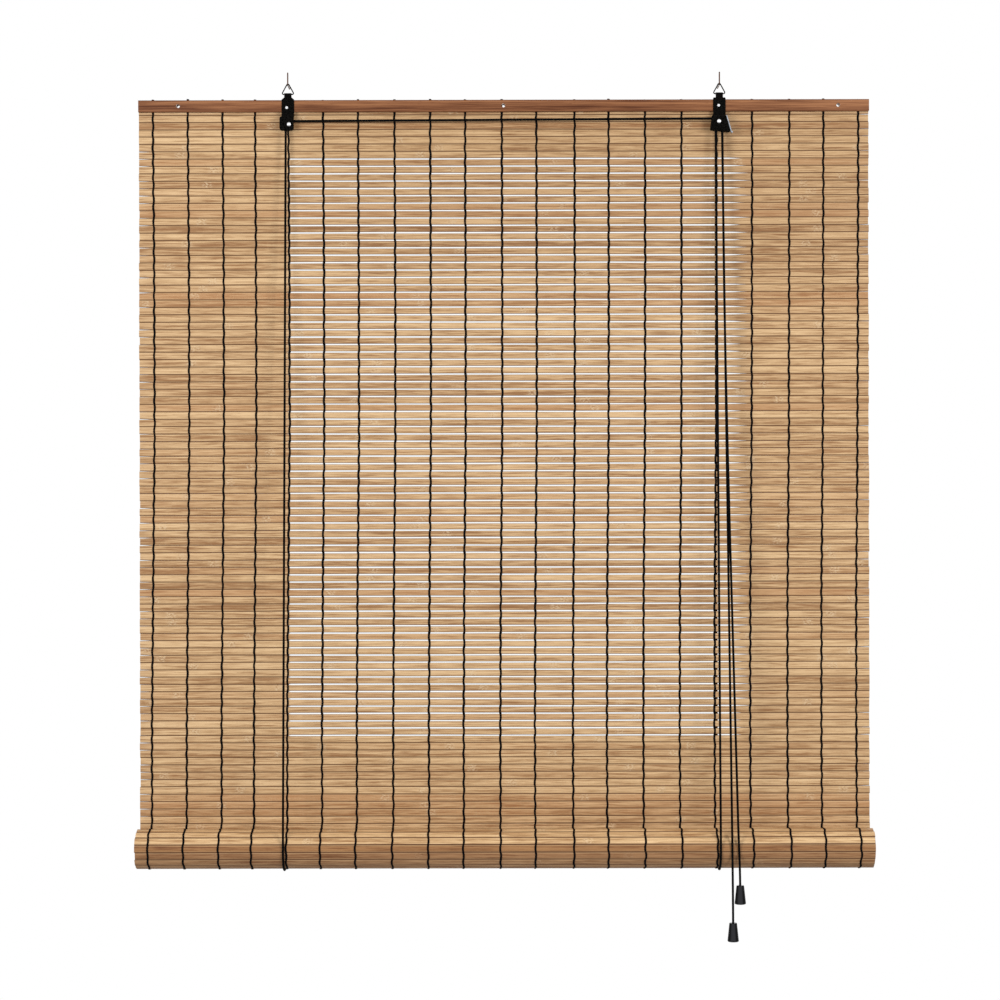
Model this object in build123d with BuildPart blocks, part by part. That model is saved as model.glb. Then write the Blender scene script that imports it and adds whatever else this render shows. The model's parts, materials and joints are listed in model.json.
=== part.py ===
from build123d import *
import math
import os

os.makedirs("parts", exist_ok=True)

# A bamboo roll-up blind, partly rolled up, hung by two wire rings from two screw hooks.
# All sizes are millimetres. X runs along the headrail, Z is up, the wall face is y = 0 and
# the room is on the -Y side. The origin lies midway between the hooks' screw axes.

# Driving dimensions: the mat and its battens.
BLIND_W = 900.0
SLAT_PITCH = 9.1
SLAT_T = 1.3
SLATS_FLAT = 101
WARP_PROUD = 0.4
WARP_W = 1.8
WARP_OVER = 1.0
WARP_INSET_LEFT = 17.0
WARP_INSET_RIGHT = 13.0
WARP_DRIFT = (
    0, -0.5, -1, -4.5, -6, -7.5, -8, -6.5, -6, -6.5, -6,
    -5.5, -2, -3.5, -2, -0.5, -1, -0.5, 2, 0.5, 0,
)
BATTEN_T = 5.0
BATTEN_H = 14.5
BATTEN_EDGE_R = 0.8
WALL_GAP = 1.5
RAIL_HOLE_INSET_LEFT = 49.0
RAIL_HOLE_INSET_RIGHT = 38.0
RAIL_HOLE_MID_X = -0.4
RAIL_HOLE_R = 2.3
RAIL_HOLE_DROP = 7.2

# The gaps between slats: a groove at every joint, a clear slot only in the middle panel.
GROOVE_H = 1.3
GROOVE_DEPTH = 0.35
SLATS_OVER_SLOTS = 8
SLOTS_COUNT = 79
SLOT_X_LEFT = -263.5
SLOT_X_RIGHT = 276.5

# The roll.
ROLL_R = 23.9
ROLL_PITCH = 1.9
ROLL_FACETS = 16
ROLL_TURNS = 7
ROLL_CLEAR = 0.3
BOTTOM_BATTEN_W = 16.6
BOTTOM_BATTEN_T = 5.0

# Hooks and rings.
HOOK_X = 265.6
HOOK_R = 0.8
HOOK_SCREW_R = 1.0
HOOK_LEG = 15.4
HOOK_BEND_R = 1.8
HOOK_IN_WALL = 14.0
HOOK_TIP = 3.0
HOOK_POINT_R = 0.2
HOOK_STANDOFF = 0.9
RING_WIRE_R = 0.7
RING_W = 15.6
RING_H = 14.35
RING_APEX_R = 1.6
RING_CORNER_R = 1.5
RING_BUTT_GAP = 0.2
RING_FIT = 0.05

# Brackets.
SHEET_T = 0.8
EYE_FIT = 0.1
EYE_SLIT = 0.4
EYE_SLIT_OFF = 0.28
NECK_W = 9.0
NECK_H = 7.0
LEFT_SHOULDER_RISE = 0.6
LEFT_SHOULDER_SLOPE = 2.6
RIGHT_SHOULDER_RISE = 2.2
PLATE_W = 15.4
PLATE_CORNER_R = 1.5
HOUSING_DROP = 20.6
LEFT_HOUSING_H = 17.3
LEFT_HOUSING_OUT = 10.0
LEFT_HOUSING_IN = 7.2
HOUSING_CORNER_R = 3.0
RIGHT_TOP_LEFT = 9.4
RIGHT_TOP_RIGHT = 7.6
RIGHT_BASE_LEFT = 11.8
RIGHT_BASE_RIGHT = 13.6
RIGHT_LEFT_H = 17.9
RIGHT_RIGHT_H = 20.6
FLANGE_TOP_DROP = 5.9
FLANGE_FOOT = 1.2

# Pulleys and their axles.
PULLEY_R = 4.8
GROOVE_R = 3.0
PULLEY_W = 3.0
PULLEY_RIM = 0.15
PULLEY_SIDE_GAP = 0.2
PULLEY_MID_GAP = 0.4
AXLE_R = 1.0
AXLE_FIT = 0.05
AXLE_HEAD_R = 2.5
AXLE_HEAD_T = 1.2
AXLE_TAIL_R = 1.8
AXLE_TAIL_T = 0.9
LEFT_AXLE_DX = 1.6
LEFT_AXLE_DROP = 30.5
RIGHT_AXLE_DX = -1.0
RIGHT_AXLE_DROP = 28.1

# Cord lock.
PIN_R = 0.9
PIN_DX = 6.0
PIN_DROP = 23.6
PIN_HEAD_R = 1.4
PIN_HEAD_T = 0.5
LEVER_BOSS_R = 2.3
LEVER_GAP = 0.2
LEVER_SIDE_FIT = 0.2
LEVER_LIP = 1.3
LEVER_NOSE_DROP = 4.0
LEVER_NOSE_H = 6.0
LEVER_TEETH = 5
LEVER_TOOTH = 0.5
LEVER_CURL_R = 1.1

# Nails through the brackets.
NAIL_R = 0.7
NAIL_FIT = 0.05
NAIL_HEAD_R = 1.9
NAIL_HEAD_T = 0.6
NAIL_HEAD_TAPER = 25.0
NAIL_DROP = (9.5, 7.6)
NAIL_DX = (-1.4, -0.8)
NAIL_BITE = 3.0
NAIL_TO_YARN = 0.3

# Cords and tassels.
CORD_R = 1.05
CORD_FIT = 0.05
CORD_OFF_ROLL = 0.3
BACK_RUN_Y = -4.0
BACK_ANCHOR = 3.0
LOOP_RISE = 6.0
LOOP_BACK_R = 28.0
RUN_LEAD = 10.0
RUN_TAIL = 24.0
LEFT_RUN_DRIFT = 0.5
RIGHT_RUN_DRIFT = 1.2
TASSEL_TOP_R = 4.6
TASSEL_BASE_R = 7.0
TASSEL_H = 22.8
TASSEL_RIM_R = 1.2
TASSEL_HOLE_FIT = 0.1
KNOT_R = 2.4
KNOT_H = 4.0
KNOT_POCKET_FIT = 0.3
KNOT_POCKET_H = 7.0

# Places along the headrail, and depths from the wall towards the room.
half_w = BLIND_W / 2
rail_hole_x = (-half_w + RAIL_HOLE_INSET_LEFT, RAIL_HOLE_MID_X, half_w - RAIL_HOLE_INSET_RIGHT)
warp_step = (BLIND_W - WARP_INSET_LEFT - WARP_INSET_RIGHT) / (len(WARP_DRIFT) - 1)
back_batten_y = -WALL_GAP - BATTEN_T / 2
mat_back_y = -WALL_GAP - BATTEN_T
mat_y = mat_back_y - WARP_PROUD - SLAT_T / 2
slat_back_y = mat_y + SLAT_T / 2
slat_front_y = mat_y - SLAT_T / 2
mat_front_y = slat_front_y - WARP_PROUD
headrail_y = mat_front_y - BATTEN_T / 2
rail_front_y = mat_front_y - BATTEN_T
plate_front_y = rail_front_y - SHEET_T

# Heights.
ring_half_angle = math.atan(RING_W / 2 / RING_H)
ring_round_off = RING_APEX_R * (1 / math.sin(ring_half_angle) - 1)
ring_apex_z = HOOK_R + RING_FIT + RING_WIRE_R + ring_round_off
ring_bar_z = ring_apex_z - RING_H
rail_top_z = ring_bar_z - NECK_H
rail_z = rail_top_z - BATTEN_H / 2
rail_bottom_z = rail_top_z - BATTEN_H
mat_bottom_z = rail_top_z - SLATS_FLAT * SLAT_PITCH
housing_top_z = rail_top_z - HOUSING_DROP
hole_z = rail_top_z - RAIL_HOLE_DROP
nail_places = (
    (-HOOK_X + NAIL_DX[0], rail_top_z - NAIL_DROP[0]),
    (HOOK_X + NAIL_DX[1], rail_top_z - NAIL_DROP[1]),
)

# The roll's axis: its largest radius stays just clear of the flat mat.
roll_y = mat_front_y - ROLL_CLEAR - ROLL_R
roll_z = mat_bottom_z

# The rolled eye and the ring's plane.
eye_in_r = RING_WIRE_R + EYE_FIT
eye_out_r = eye_in_r + SHEET_T
ring_y = plate_front_y + eye_out_r

# Pulley places, and the cords that pass over them.
cord_bend_r = GROOVE_R + CORD_FIT + CORD_R
rear_pulley_y = plate_front_y - PULLEY_SIDE_GAP - PULLEY_W / 2
front_pulley_y = rear_pulley_y - PULLEY_W - PULLEY_MID_GAP
left_cheek_y = rear_pulley_y - PULLEY_W / 2 - PULLEY_SIDE_GAP
right_cheek_y = front_pulley_y - PULLEY_W / 2 - PULLEY_SIDE_GAP
left_axle_x = -HOOK_X + LEFT_AXLE_DX
right_axle_x = HOOK_X + RIGHT_AXLE_DX
left_axle_z = rail_top_z - LEFT_AXLE_DROP
right_axle_z = rail_top_z - RIGHT_AXLE_DROP
pin_x = HOOK_X + PIN_DX
pin_z = rail_top_z - PIN_DROP
left_run_x = left_axle_x - cord_bend_r
right_run_x = right_axle_x - cord_bend_r
left_loop_x = left_run_x + LEFT_RUN_DRIFT
right_loop_x = right_run_x + RIGHT_RUN_DRIFT
pull_x = right_axle_x + cord_bend_r

# The lift cord's loop under the roll.
loop_r = ROLL_R + CORD_OFF_ROLL + CORD_R
loop_front_y = roll_y - loop_r
loop_bottom_z = roll_z - loop_r
loop_top_z = roll_z + LOOP_RISE

# Hand-chosen points of the two pull cords, from the lock over the roll's front to the tassels.
PULL_REAR_POINTS = (
    (pull_x, rear_pulley_y, right_axle_z),
    (pull_x, rear_pulley_y, right_axle_z - RUN_LEAD),
    (275.5, -58.5, -925.0),
    (276.3, -58.9, -1010.0),
    (276.3, -58.9, -1039.8),
)
PULL_FRONT_POINTS = (
    (pull_x, front_pulley_y, right_axle_z),
    (pull_x, front_pulley_y, right_axle_z - RUN_LEAD),
    (269.9, -32.4, -330.0),
    (282.9, -58.5, -912.0),
    (285.0, -58.9, -968.0),
    (285.0, -58.9, -994.4),
)


def corner_radii(points, tight=()):
    """Radii for a cord's corners: 0.45 of the shorter run over the half turn's tangent."""
    radii = []
    for i in range(1, len(points) - 1):
        before = Vector(*points[i]) - Vector(*points[i - 1])
        after = Vector(*points[i + 1]) - Vector(*points[i])
        half_turn = math.radians(before.get_angle(after)) / 2
        shorter = min(before.length, after.length)
        radii.append(0.45 * shorter / math.tan(half_turn))
    for corner, radius in tight:
        radii[corner] = radius
    return radii


def cord_tube(name, points, tight=()):
    """One round cord along straight runs joined by tangent arcs."""
    radii = corner_radii(points, tight)
    with BuildPart() as cord:
        with BuildLine() as route:
            FilletPolyline(*points, radius=radii)
        path = route.wire()
        with BuildSketch(Plane(origin=path @ 0, z_dir=path % 0)):
            Circle(CORD_R)
        sweep(path=path)
    length = path.length
    ratio = cord.part.volume / (math.pi * CORD_R**2 * length)
    print(name, "length", round(length, 1), "volume ratio", round(ratio, 4))
    print(name, "radii", [round(radius, 1) for radius in radii])
    return cord.part


def straight_cord(x, y, z_low, z_high):
    """A plumb stretch of cord."""
    with BuildPart() as cord:
        with BuildSketch(Plane.XY.offset(z_low)):
            with Locations((x, y)):
                Circle(CORD_R)
        extrude(amount=z_high - z_low)
    return cord.part


def save(piece, name):
    """Label a finished piece and write it."""
    piece.label = name
    export_step(piece, f"parts/{name}.step")


# Battens at the head: the mat's first slats are held between them.
with BuildPart() as headrail:
    with BuildSketch(Plane.YZ):
        with Locations((headrail_y, rail_z)):
            Rectangle(BATTEN_T, BATTEN_H)
    extrude(amount=half_w, both=True)
    room_edges = headrail.edges().filter_by(Axis.X).group_by(Axis.Y)[0]
    fillet(room_edges, BATTEN_EDGE_R)
    with BuildSketch(Plane.XZ.offset(-rail_front_y)):
        with Locations(*[(x, hole_z) for x in rail_hole_x]):
            Circle(RAIL_HOLE_R)
        with Locations(*nail_places):
            Circle(NAIL_R + NAIL_FIT)
    extrude(amount=-BATTEN_T, mode=Mode.SUBTRACT)
save(headrail.part, "headrail")

with BuildPart() as back_batten:
    with BuildSketch(Plane.YZ):
        with Locations((back_batten_y, rail_z)):
            Rectangle(BATTEN_T, BATTEN_H)
    extrude(amount=half_w, both=True)
    wall_edges = back_batten.edges().filter_by(Axis.X).group_by(Axis.Y)[-1]
    fillet(wall_edges, BATTEN_EDGE_R)
    with BuildSketch(Plane.XZ.offset(-mat_back_y)):
        with Locations(*[(x, hole_z) for x in rail_hole_x]):
            Circle(RAIL_HOLE_R)
    extrude(amount=-BATTEN_T, mode=Mode.SUBTRACT)
    with BuildSketch(Plane.XZ.offset(-mat_back_y)):
        with Locations(*nail_places):
            Circle(NAIL_R + NAIL_FIT)
    extrude(amount=-NAIL_BITE, mode=Mode.SUBTRACT)
    with BuildSketch(Plane.XY.offset(rail_bottom_z)):
        with Locations((left_loop_x, BACK_RUN_Y), (right_loop_x, BACK_RUN_Y)):
            Circle(CORD_R + CORD_FIT)
    extrude(amount=BACK_ANCHOR, mode=Mode.SUBTRACT)
save(back_batten.part, "back_batten")

# The flat mat: one wall with a groove at every joint between slats, front and back.
joint_z = [rail_top_z - i * SLAT_PITCH for i in range(SLATS_FLAT + 1)]


def grooved_edge(y_face, inward):
    """Points down one face of the mat, dipping into the groove at every joint."""
    points = [(y_face, joint_z[0])]
    for z in joint_z[1:-1]:
        points.append((y_face, z + GROOVE_H / 2))
        points.append((y_face + inward * GROOVE_DEPTH, z))
        points.append((y_face, z - GROOVE_H / 2))
    points.append((y_face, joint_z[-1]))
    return points


with BuildPart() as slat_mat:
    with BuildSketch(Plane.YZ):
        with BuildLine():
            front_edge = grooved_edge(slat_front_y, 1)
            back_edge = grooved_edge(slat_back_y, -1)
            Polyline(*front_edge, *reversed(back_edge), close=True)
        make_face()
    extrude(amount=half_w, both=True)
    with BuildSketch(Plane.XZ.offset(-slat_front_y)):
        slot_mid = (SLOT_X_LEFT + SLOT_X_RIGHT) / 2
        with Locations(*[(slot_mid, z) for z in joint_z[SLATS_OVER_SLOTS : SLATS_OVER_SLOTS + SLOTS_COUNT]]):
            Rectangle(SLOT_X_RIGHT - SLOT_X_LEFT, GROOVE_H)
        with Locations(*[(x, hole_z) for x in rail_hole_x]):
            Circle(RAIL_HOLE_R)
        with Locations(*nail_places):
            Circle(NAIL_R + NAIL_FIT)
    extrude(amount=-SLAT_T, mode=Mode.SUBTRACT)
save(slat_mat.part, "slat_mat")


def make_warp(x):
    """One warp: a yarn down the front and the back, looped over the mat's top edge."""
    with BuildPart() as warp:
        with BuildSketch(Plane.YZ.offset(x)):
            with BuildLine():
                Polyline(
                    (mat_front_y, mat_bottom_z),
                    (mat_front_y, rail_top_z + WARP_OVER),
                    (mat_back_y, rail_top_z + WARP_OVER),
                    (mat_back_y, mat_bottom_z),
                    (slat_back_y, mat_bottom_z),
                    (slat_back_y, rail_top_z),
                    (slat_front_y, rail_top_z),
                    (slat_front_y, mat_bottom_z),
                    close=True,
                )
            make_face()
        extrude(amount=WARP_W / 2, both=True)
    return warp.part


def beside_nails(x):
    """A yarn's place along the mat, moved aside where a nail would pierce it."""
    reach = NAIL_R + WARP_W / 2 + NAIL_TO_YARN
    for nail_x, _ in nail_places:
        if abs(x - nail_x) < reach:
            return nail_x + math.copysign(reach, x - nail_x)
    return x


# The yarns stand nearly evenly across the mat, each a little off its even place.
even_places = [-half_w + WARP_INSET_LEFT + i * warp_step for i in range(len(WARP_DRIFT))]
warps_x = [beside_nails(place + drift) for place, drift in zip(even_places, WARP_DRIFT)]
for number, warp_x in enumerate(warps_x, start=1):
    save(make_warp(warp_x), f"warp_{number:02d}")

# The roll: the mat wound forwards round the bottom batten, one slat to each outer facet.
facet_angle = 360 / ROLL_FACETS
half_slat_r = SLAT_T / 2 / math.cos(math.radians(facet_angle / 2))
roll_out_r = ROLL_R - WARP_PROUD - half_slat_r


def roll_point(index, offset):
    """A corner of the wound mat. The first slat lies upright at the back, and the next go under."""
    angle = math.radians((0.5 - index) * facet_angle)
    radius = roll_out_r - ROLL_PITCH * index / ROLL_FACETS + offset
    return (roll_y + radius * math.cos(angle), roll_z + radius * math.sin(angle))


def between(start, end, reach):
    """The point at a given distance from start towards end."""
    share = reach / math.dist(start, end)
    return (start[0] + share * (end[0] - start[0]), start[1] + share * (end[1] - start[1]))


corners = range(ROLL_TURNS * ROLL_FACETS + 1)
outer_edge = []
for corner in corners:
    here = roll_point(corner, half_slat_r)
    if 0 < corner < ROLL_FACETS:
        outer_edge.append(between(here, roll_point(corner - 1, half_slat_r), GROOVE_H / 2))
        outer_edge.append(roll_point(corner, half_slat_r - GROOVE_DEPTH))
        outer_edge.append(between(here, roll_point(corner + 1, half_slat_r), GROOVE_H / 2))
    else:
        outer_edge.append(here)
inner_edge = [roll_point(corner, -half_slat_r) for corner in corners]

with BuildPart() as roll_turns:
    with BuildSketch(Plane.YZ):
        with BuildLine():
            Polyline(*outer_edge, *reversed(inner_edge), close=True)
        make_face()
    extrude(amount=half_w, both=True)
save(roll_turns.part, "roll_turns")

# The warps where they show on the roll: a band over each facet of the outer turn.
band_inner = [roll_point(corner, half_slat_r) for corner in range(ROLL_FACETS + 1)]
band_outer = [roll_point(corner, half_slat_r + WARP_PROUD) for corner in range(ROLL_FACETS + 1)]
with BuildPart() as roll_warps:
    for warp_x in warps_x:
        with BuildSketch(Plane.YZ.offset(warp_x - WARP_W / 2)):
            with BuildLine():
                Polyline(*band_outer, *reversed(band_inner), close=True)
            make_face()
        extrude(amount=WARP_W)
save(roll_warps.part, "roll_warps")

with BuildPart() as bottom_batten:
    with BuildSketch(Plane.YZ):
        with Locations((roll_y, roll_z)):
            Rectangle(BOTTOM_BATTEN_W, BOTTOM_BATTEN_T)
    extrude(amount=half_w, both=True)
save(bottom_batten.part, "bottom_batten")


def make_hook(x):
    """A square-bend hook of plain wire, with a rolled screw in the wall that is thicker than the wire."""
    leg_y = ring_y - RING_WIRE_R - HOOK_STANDOFF - HOOK_R
    screw_length = HOOK_IN_WALL - HOOK_TIP
    with BuildPart() as hook:
        with BuildLine() as route:
            FilletPolyline((x, 0, 0), (x, leg_y, 0), (x, leg_y, HOOK_LEG), radius=HOOK_BEND_R)
        path = route.wire()
        with BuildSketch(Plane(origin=path @ 0, z_dir=path % 0)):
            Circle(HOOK_R)
        sweep(path=path)
        with BuildSketch(Plane.XZ):
            with Locations((x, 0)):
                Circle(HOOK_SCREW_R)
        extrude(amount=-screw_length)
        with BuildSketch(Plane.XZ.offset(-screw_length)):
            with Locations((x, 0)):
                Circle(HOOK_SCREW_R)
        with BuildSketch(Plane.XZ.offset(-HOOK_IN_WALL)):
            with Locations((x, 0)):
                Circle(HOOK_POINT_R)
        loft()
        fillet(hook.faces().sort_by(Axis.Z)[-1].edges(), HOOK_R / 2)
    return hook.part


def make_ring(x):
    """A wire triangle with its butt joint in the middle of the bottom bar."""
    half_bar = RING_W / 2
    with BuildPart() as ring:
        with BuildLine() as route:
            FilletPolyline(
                (x + RING_BUTT_GAP / 2, ring_y, ring_bar_z),
                (x + half_bar, ring_y, ring_bar_z),
                (x, ring_y, ring_apex_z),
                (x - half_bar, ring_y, ring_bar_z),
                (x - RING_BUTT_GAP / 2, ring_y, ring_bar_z),
                radius=[RING_CORNER_R, RING_APEX_R, RING_CORNER_R],
            )
        path = route.wire()
        with BuildSketch(Plane(origin=path @ 0, z_dir=path % 0)):
            Circle(RING_WIRE_R)
        sweep(path=path)
    return ring.part


for side, side_x in (("left", -HOOK_X), ("right", HOOK_X)):
    save(make_hook(side_x), f"wall_hook_{side}")
    save(make_ring(side_x), f"ring_{side}")


def plate_outline(x, shoulder_z, slope, lower_points):
    """Corners of a bracket's back plate: neck, shoulders, straight sides and the wider housing."""
    return [
        (x - NECK_W / 2, ring_bar_z),
        (x - NECK_W / 2, shoulder_z + slope),
        (x - PLATE_W / 2, shoulder_z),
        *lower_points,
        (x + PLATE_W / 2, shoulder_z),
        (x + NECK_W / 2, shoulder_z + slope),
        (x + NECK_W / 2, ring_bar_z),
    ]


def is_shoulder(vertex, x, shoulder_z):
    """True for the two outer corners at a bracket's shoulders."""
    at_height = abs(vertex.Y - shoulder_z) < PLATE_CORNER_R / 2
    return at_height and abs(vertex.X - x) > (NECK_W + PLATE_W) / 4


def eye_profile():
    """The rolled eye round the ring's bar, with the slit where the sheet's end stops."""
    with Locations((ring_y, ring_bar_z)):
        Circle(eye_out_r)
        Circle(eye_in_r, mode=Mode.SUBTRACT)
    with Locations((ring_y - EYE_SLIT_OFF, ring_bar_z - eye_out_r)):
        Rectangle(EYE_SLIT, 3 * SHEET_T, mode=Mode.SUBTRACT)


with BuildPart() as bracket_left:
    hook_x = -HOOK_X
    shoulder_z = rail_top_z + LEFT_SHOULDER_RISE
    base_z = housing_top_z - LEFT_HOUSING_H
    housing = [
        (hook_x - LEFT_HOUSING_OUT, housing_top_z),
        (hook_x - LEFT_HOUSING_OUT, base_z),
        (hook_x + LEFT_HOUSING_IN, base_z),
        (hook_x + LEFT_HOUSING_IN, housing_top_z),
    ]
    plate_corners = plate_outline(
        hook_x,
        shoulder_z,
        LEFT_SHOULDER_SLOPE,
        [(hook_x - PLATE_W / 2, housing_top_z), *housing, (hook_x + PLATE_W / 2, housing_top_z)],
    )
    with BuildSketch(Plane.XZ.offset(-rail_front_y)) as plate:
        with BuildLine():
            Polyline(*plate_corners, close=True)
        make_face()
        fillet(plate.vertices().group_by(Axis.Y)[0], HOUSING_CORNER_R)
        fillet(plate.vertices().filter_by(lambda v: is_shoulder(v, hook_x, shoulder_z)), PLATE_CORNER_R)
    extrude(amount=SHEET_T)
    with BuildSketch(Plane.XZ.offset(-left_cheek_y)) as cheek:
        with BuildLine():
            Polyline(*housing, close=True)
        make_face()
        fillet(cheek.vertices(), HOUSING_CORNER_R)
    extrude(amount=SHEET_T)
    with BuildSketch(Plane.XZ.offset(-plate_front_y)):
        with BuildLine():
            Polyline(
                (hook_x - LEFT_HOUSING_OUT, housing_top_z - HOUSING_CORNER_R),
                (hook_x - LEFT_HOUSING_OUT, base_z + HOUSING_CORNER_R),
                (hook_x - LEFT_HOUSING_OUT + SHEET_T, base_z + HOUSING_CORNER_R),
                (hook_x - LEFT_HOUSING_OUT + SHEET_T, housing_top_z - HOUSING_CORNER_R),
                close=True,
            )
        make_face()
    extrude(amount=plate_front_y - left_cheek_y)
    with BuildSketch(Plane.YZ.offset(hook_x)):
        eye_profile()
    extrude(amount=NECK_W / 2, both=True)
    with BuildSketch(Plane.XZ.offset(-rail_front_y)):
        with Locations((left_axle_x, left_axle_z)):
            Circle(AXLE_R)
    extrude(amount=rail_front_y - left_cheek_y + SHEET_T, mode=Mode.SUBTRACT)
    with BuildSketch(Plane.XZ.offset(-rail_front_y)):
        with Locations(nail_places[0]):
            Circle(NAIL_R + NAIL_FIT)
    extrude(amount=SHEET_T, mode=Mode.SUBTRACT)
save(bracket_left.part, "bracket_left")

with BuildPart() as bracket_right:
    hook_x = HOOK_X
    shoulder_z = rail_top_z + RIGHT_SHOULDER_RISE
    left_base_z = housing_top_z - RIGHT_LEFT_H
    right_base_z = housing_top_z - RIGHT_RIGHT_H
    flare = [
        (hook_x - RIGHT_TOP_LEFT, housing_top_z),
        (hook_x - RIGHT_BASE_LEFT, left_base_z),
        (hook_x + RIGHT_BASE_RIGHT, right_base_z),
        (hook_x + RIGHT_TOP_RIGHT, housing_top_z),
    ]
    plate_corners = plate_outline(
        hook_x,
        shoulder_z,
        0,
        [(hook_x - PLATE_W / 2, housing_top_z), *flare, (hook_x + PLATE_W / 2, housing_top_z)],
    )
    with BuildSketch(Plane.XZ.offset(-rail_front_y)) as plate:
        with BuildLine():
            Polyline(*plate_corners, close=True)
        make_face()
        fillet(plate.vertices().sort_by(Axis.Y)[:2], PLATE_CORNER_R)
        fillet(plate.vertices().filter_by(lambda v: is_shoulder(v, hook_x, shoulder_z)), PLATE_CORNER_R)
    extrude(amount=SHEET_T)
    with BuildSketch(Plane.XZ.offset(-right_cheek_y)) as cheek:
        with BuildLine():
            Polyline(*flare, close=True)
        make_face()
        fillet(cheek.vertices(), PLATE_CORNER_R)
    extrude(amount=SHEET_T)
    slope = (RIGHT_BASE_LEFT - RIGHT_TOP_LEFT) / RIGHT_LEFT_H
    flange_high = FLANGE_TOP_DROP
    flange_low = RIGHT_LEFT_H - FLANGE_FOOT
    with BuildSketch(Plane.XZ.offset(-plate_front_y)):
        with BuildLine():
            Polyline(
                (hook_x - RIGHT_TOP_LEFT - slope * flange_high, housing_top_z - flange_high),
                (hook_x - RIGHT_TOP_LEFT - slope * flange_low, housing_top_z - flange_low),
                (hook_x - RIGHT_TOP_LEFT - slope * flange_low + SHEET_T, housing_top_z - flange_low),
                (hook_x - RIGHT_TOP_LEFT - slope * flange_high + SHEET_T, housing_top_z - flange_high),
                close=True,
            )
        make_face()
    extrude(amount=plate_front_y - right_cheek_y)
    with BuildSketch(Plane.YZ.offset(hook_x)):
        eye_profile()
    extrude(amount=NECK_W / 2, both=True)
    with BuildSketch(Plane.XZ.offset(-rail_front_y)):
        with Locations((right_axle_x, right_axle_z)):
            Circle(AXLE_R)
        with Locations((pin_x, pin_z)):
            Circle(PIN_R)
    extrude(amount=rail_front_y - right_cheek_y + SHEET_T, mode=Mode.SUBTRACT)
    with BuildSketch(Plane.XZ.offset(-rail_front_y)):
        with Locations(nail_places[1]):
            Circle(NAIL_R + NAIL_FIT)
    extrude(amount=SHEET_T, mode=Mode.SUBTRACT)
save(bracket_right.part, "bracket_right")


def make_rivet(x, z, cheek_y, radius, head_r, head_t, tail_r, tail_t):
    """A rivet through both walls of a housing, with a domed head in front of the cheek."""
    front_y = cheek_y - SHEET_T
    dome_r = (head_r**2 + head_t**2) / (2 * head_t)
    half_turn = math.asin(head_r / dome_r) / 2
    with BuildPart() as rivet:
        with BuildSketch(Plane.XY.offset(z)):
            with BuildLine():
                Polyline(
                    (x, front_y - head_t),
                    (x, rail_front_y + tail_t),
                    (x + tail_r, rail_front_y + tail_t),
                    (x + tail_r, rail_front_y),
                    (x + radius, rail_front_y),
                    (x + radius, front_y),
                    (x + head_r, front_y),
                )
                ThreePointArc(
                    (x + head_r, front_y),
                    (
                        x + dome_r * math.sin(half_turn),
                        front_y - head_t + dome_r * (1 - math.cos(half_turn)),
                    ),
                    (x, front_y - head_t),
                )
            make_face()
        revolve(axis=Axis((x, 0, z), (0, 1, 0)))
    return rivet.part


save(
    make_rivet(
        left_axle_x, left_axle_z, left_cheek_y, AXLE_R, AXLE_HEAD_R, AXLE_HEAD_T, AXLE_TAIL_R, AXLE_TAIL_T
    ),
    "axle_left",
)
save(
    make_rivet(
        right_axle_x, right_axle_z, right_cheek_y, AXLE_R, AXLE_HEAD_R, AXLE_HEAD_T, AXLE_TAIL_R, AXLE_TAIL_T
    ),
    "axle_right",
)
save(
    make_rivet(pin_x, pin_z, right_cheek_y, PIN_R, PIN_HEAD_R, PIN_HEAD_T, PIN_HEAD_R, PIN_HEAD_T),
    "lock_pin",
)

nail_foot_y = mat_back_y + NAIL_BITE
with BuildPart() as bracket_nails:
    for nail_place in nail_places:
        with BuildSketch(Plane.XZ.offset(-nail_foot_y)):
            with Locations(nail_place):
                Circle(NAIL_R)
        extrude(amount=nail_foot_y - plate_front_y)
        with BuildSketch(Plane.XZ.offset(-plate_front_y)):
            with Locations(nail_place):
                Circle(NAIL_HEAD_R)
        extrude(amount=NAIL_HEAD_T, taper=NAIL_HEAD_TAPER)
save(bracket_nails.part, "bracket_nails")


def make_pulley(x, y, z):
    """A wheel with a round groove, bored to turn on its axle."""
    bore = AXLE_R + AXLE_FIT
    groove = CORD_R + CORD_FIT
    mouth = PULLEY_W / 2 - PULLEY_RIM
    with BuildPart() as pulley:
        with BuildSketch(Plane((x, y, z), x_dir=(1, 0, 0), z_dir=(0, 0, 1))):
            with BuildLine():
                Polyline(
                    (cord_bend_r, -groove),
                    (PULLEY_R, -mouth),
                    (PULLEY_R, -PULLEY_W / 2),
                    (bore, -PULLEY_W / 2),
                    (bore, PULLEY_W / 2),
                    (PULLEY_R, PULLEY_W / 2),
                    (PULLEY_R, mouth),
                    (cord_bend_r, groove),
                )
                ThreePointArc((cord_bend_r, groove), (cord_bend_r - groove, 0), (cord_bend_r, -groove))
            make_face()
        revolve(axis=Axis((x, y, z), (0, 1, 0)))
    return pulley.part


save(make_pulley(left_axle_x, rear_pulley_y, left_axle_z), "pulley_left")
save(make_pulley(right_axle_x, rear_pulley_y, right_axle_z), "pulley_rear")
save(make_pulley(right_axle_x, front_pulley_y, right_axle_z), "pulley_front")

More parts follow.
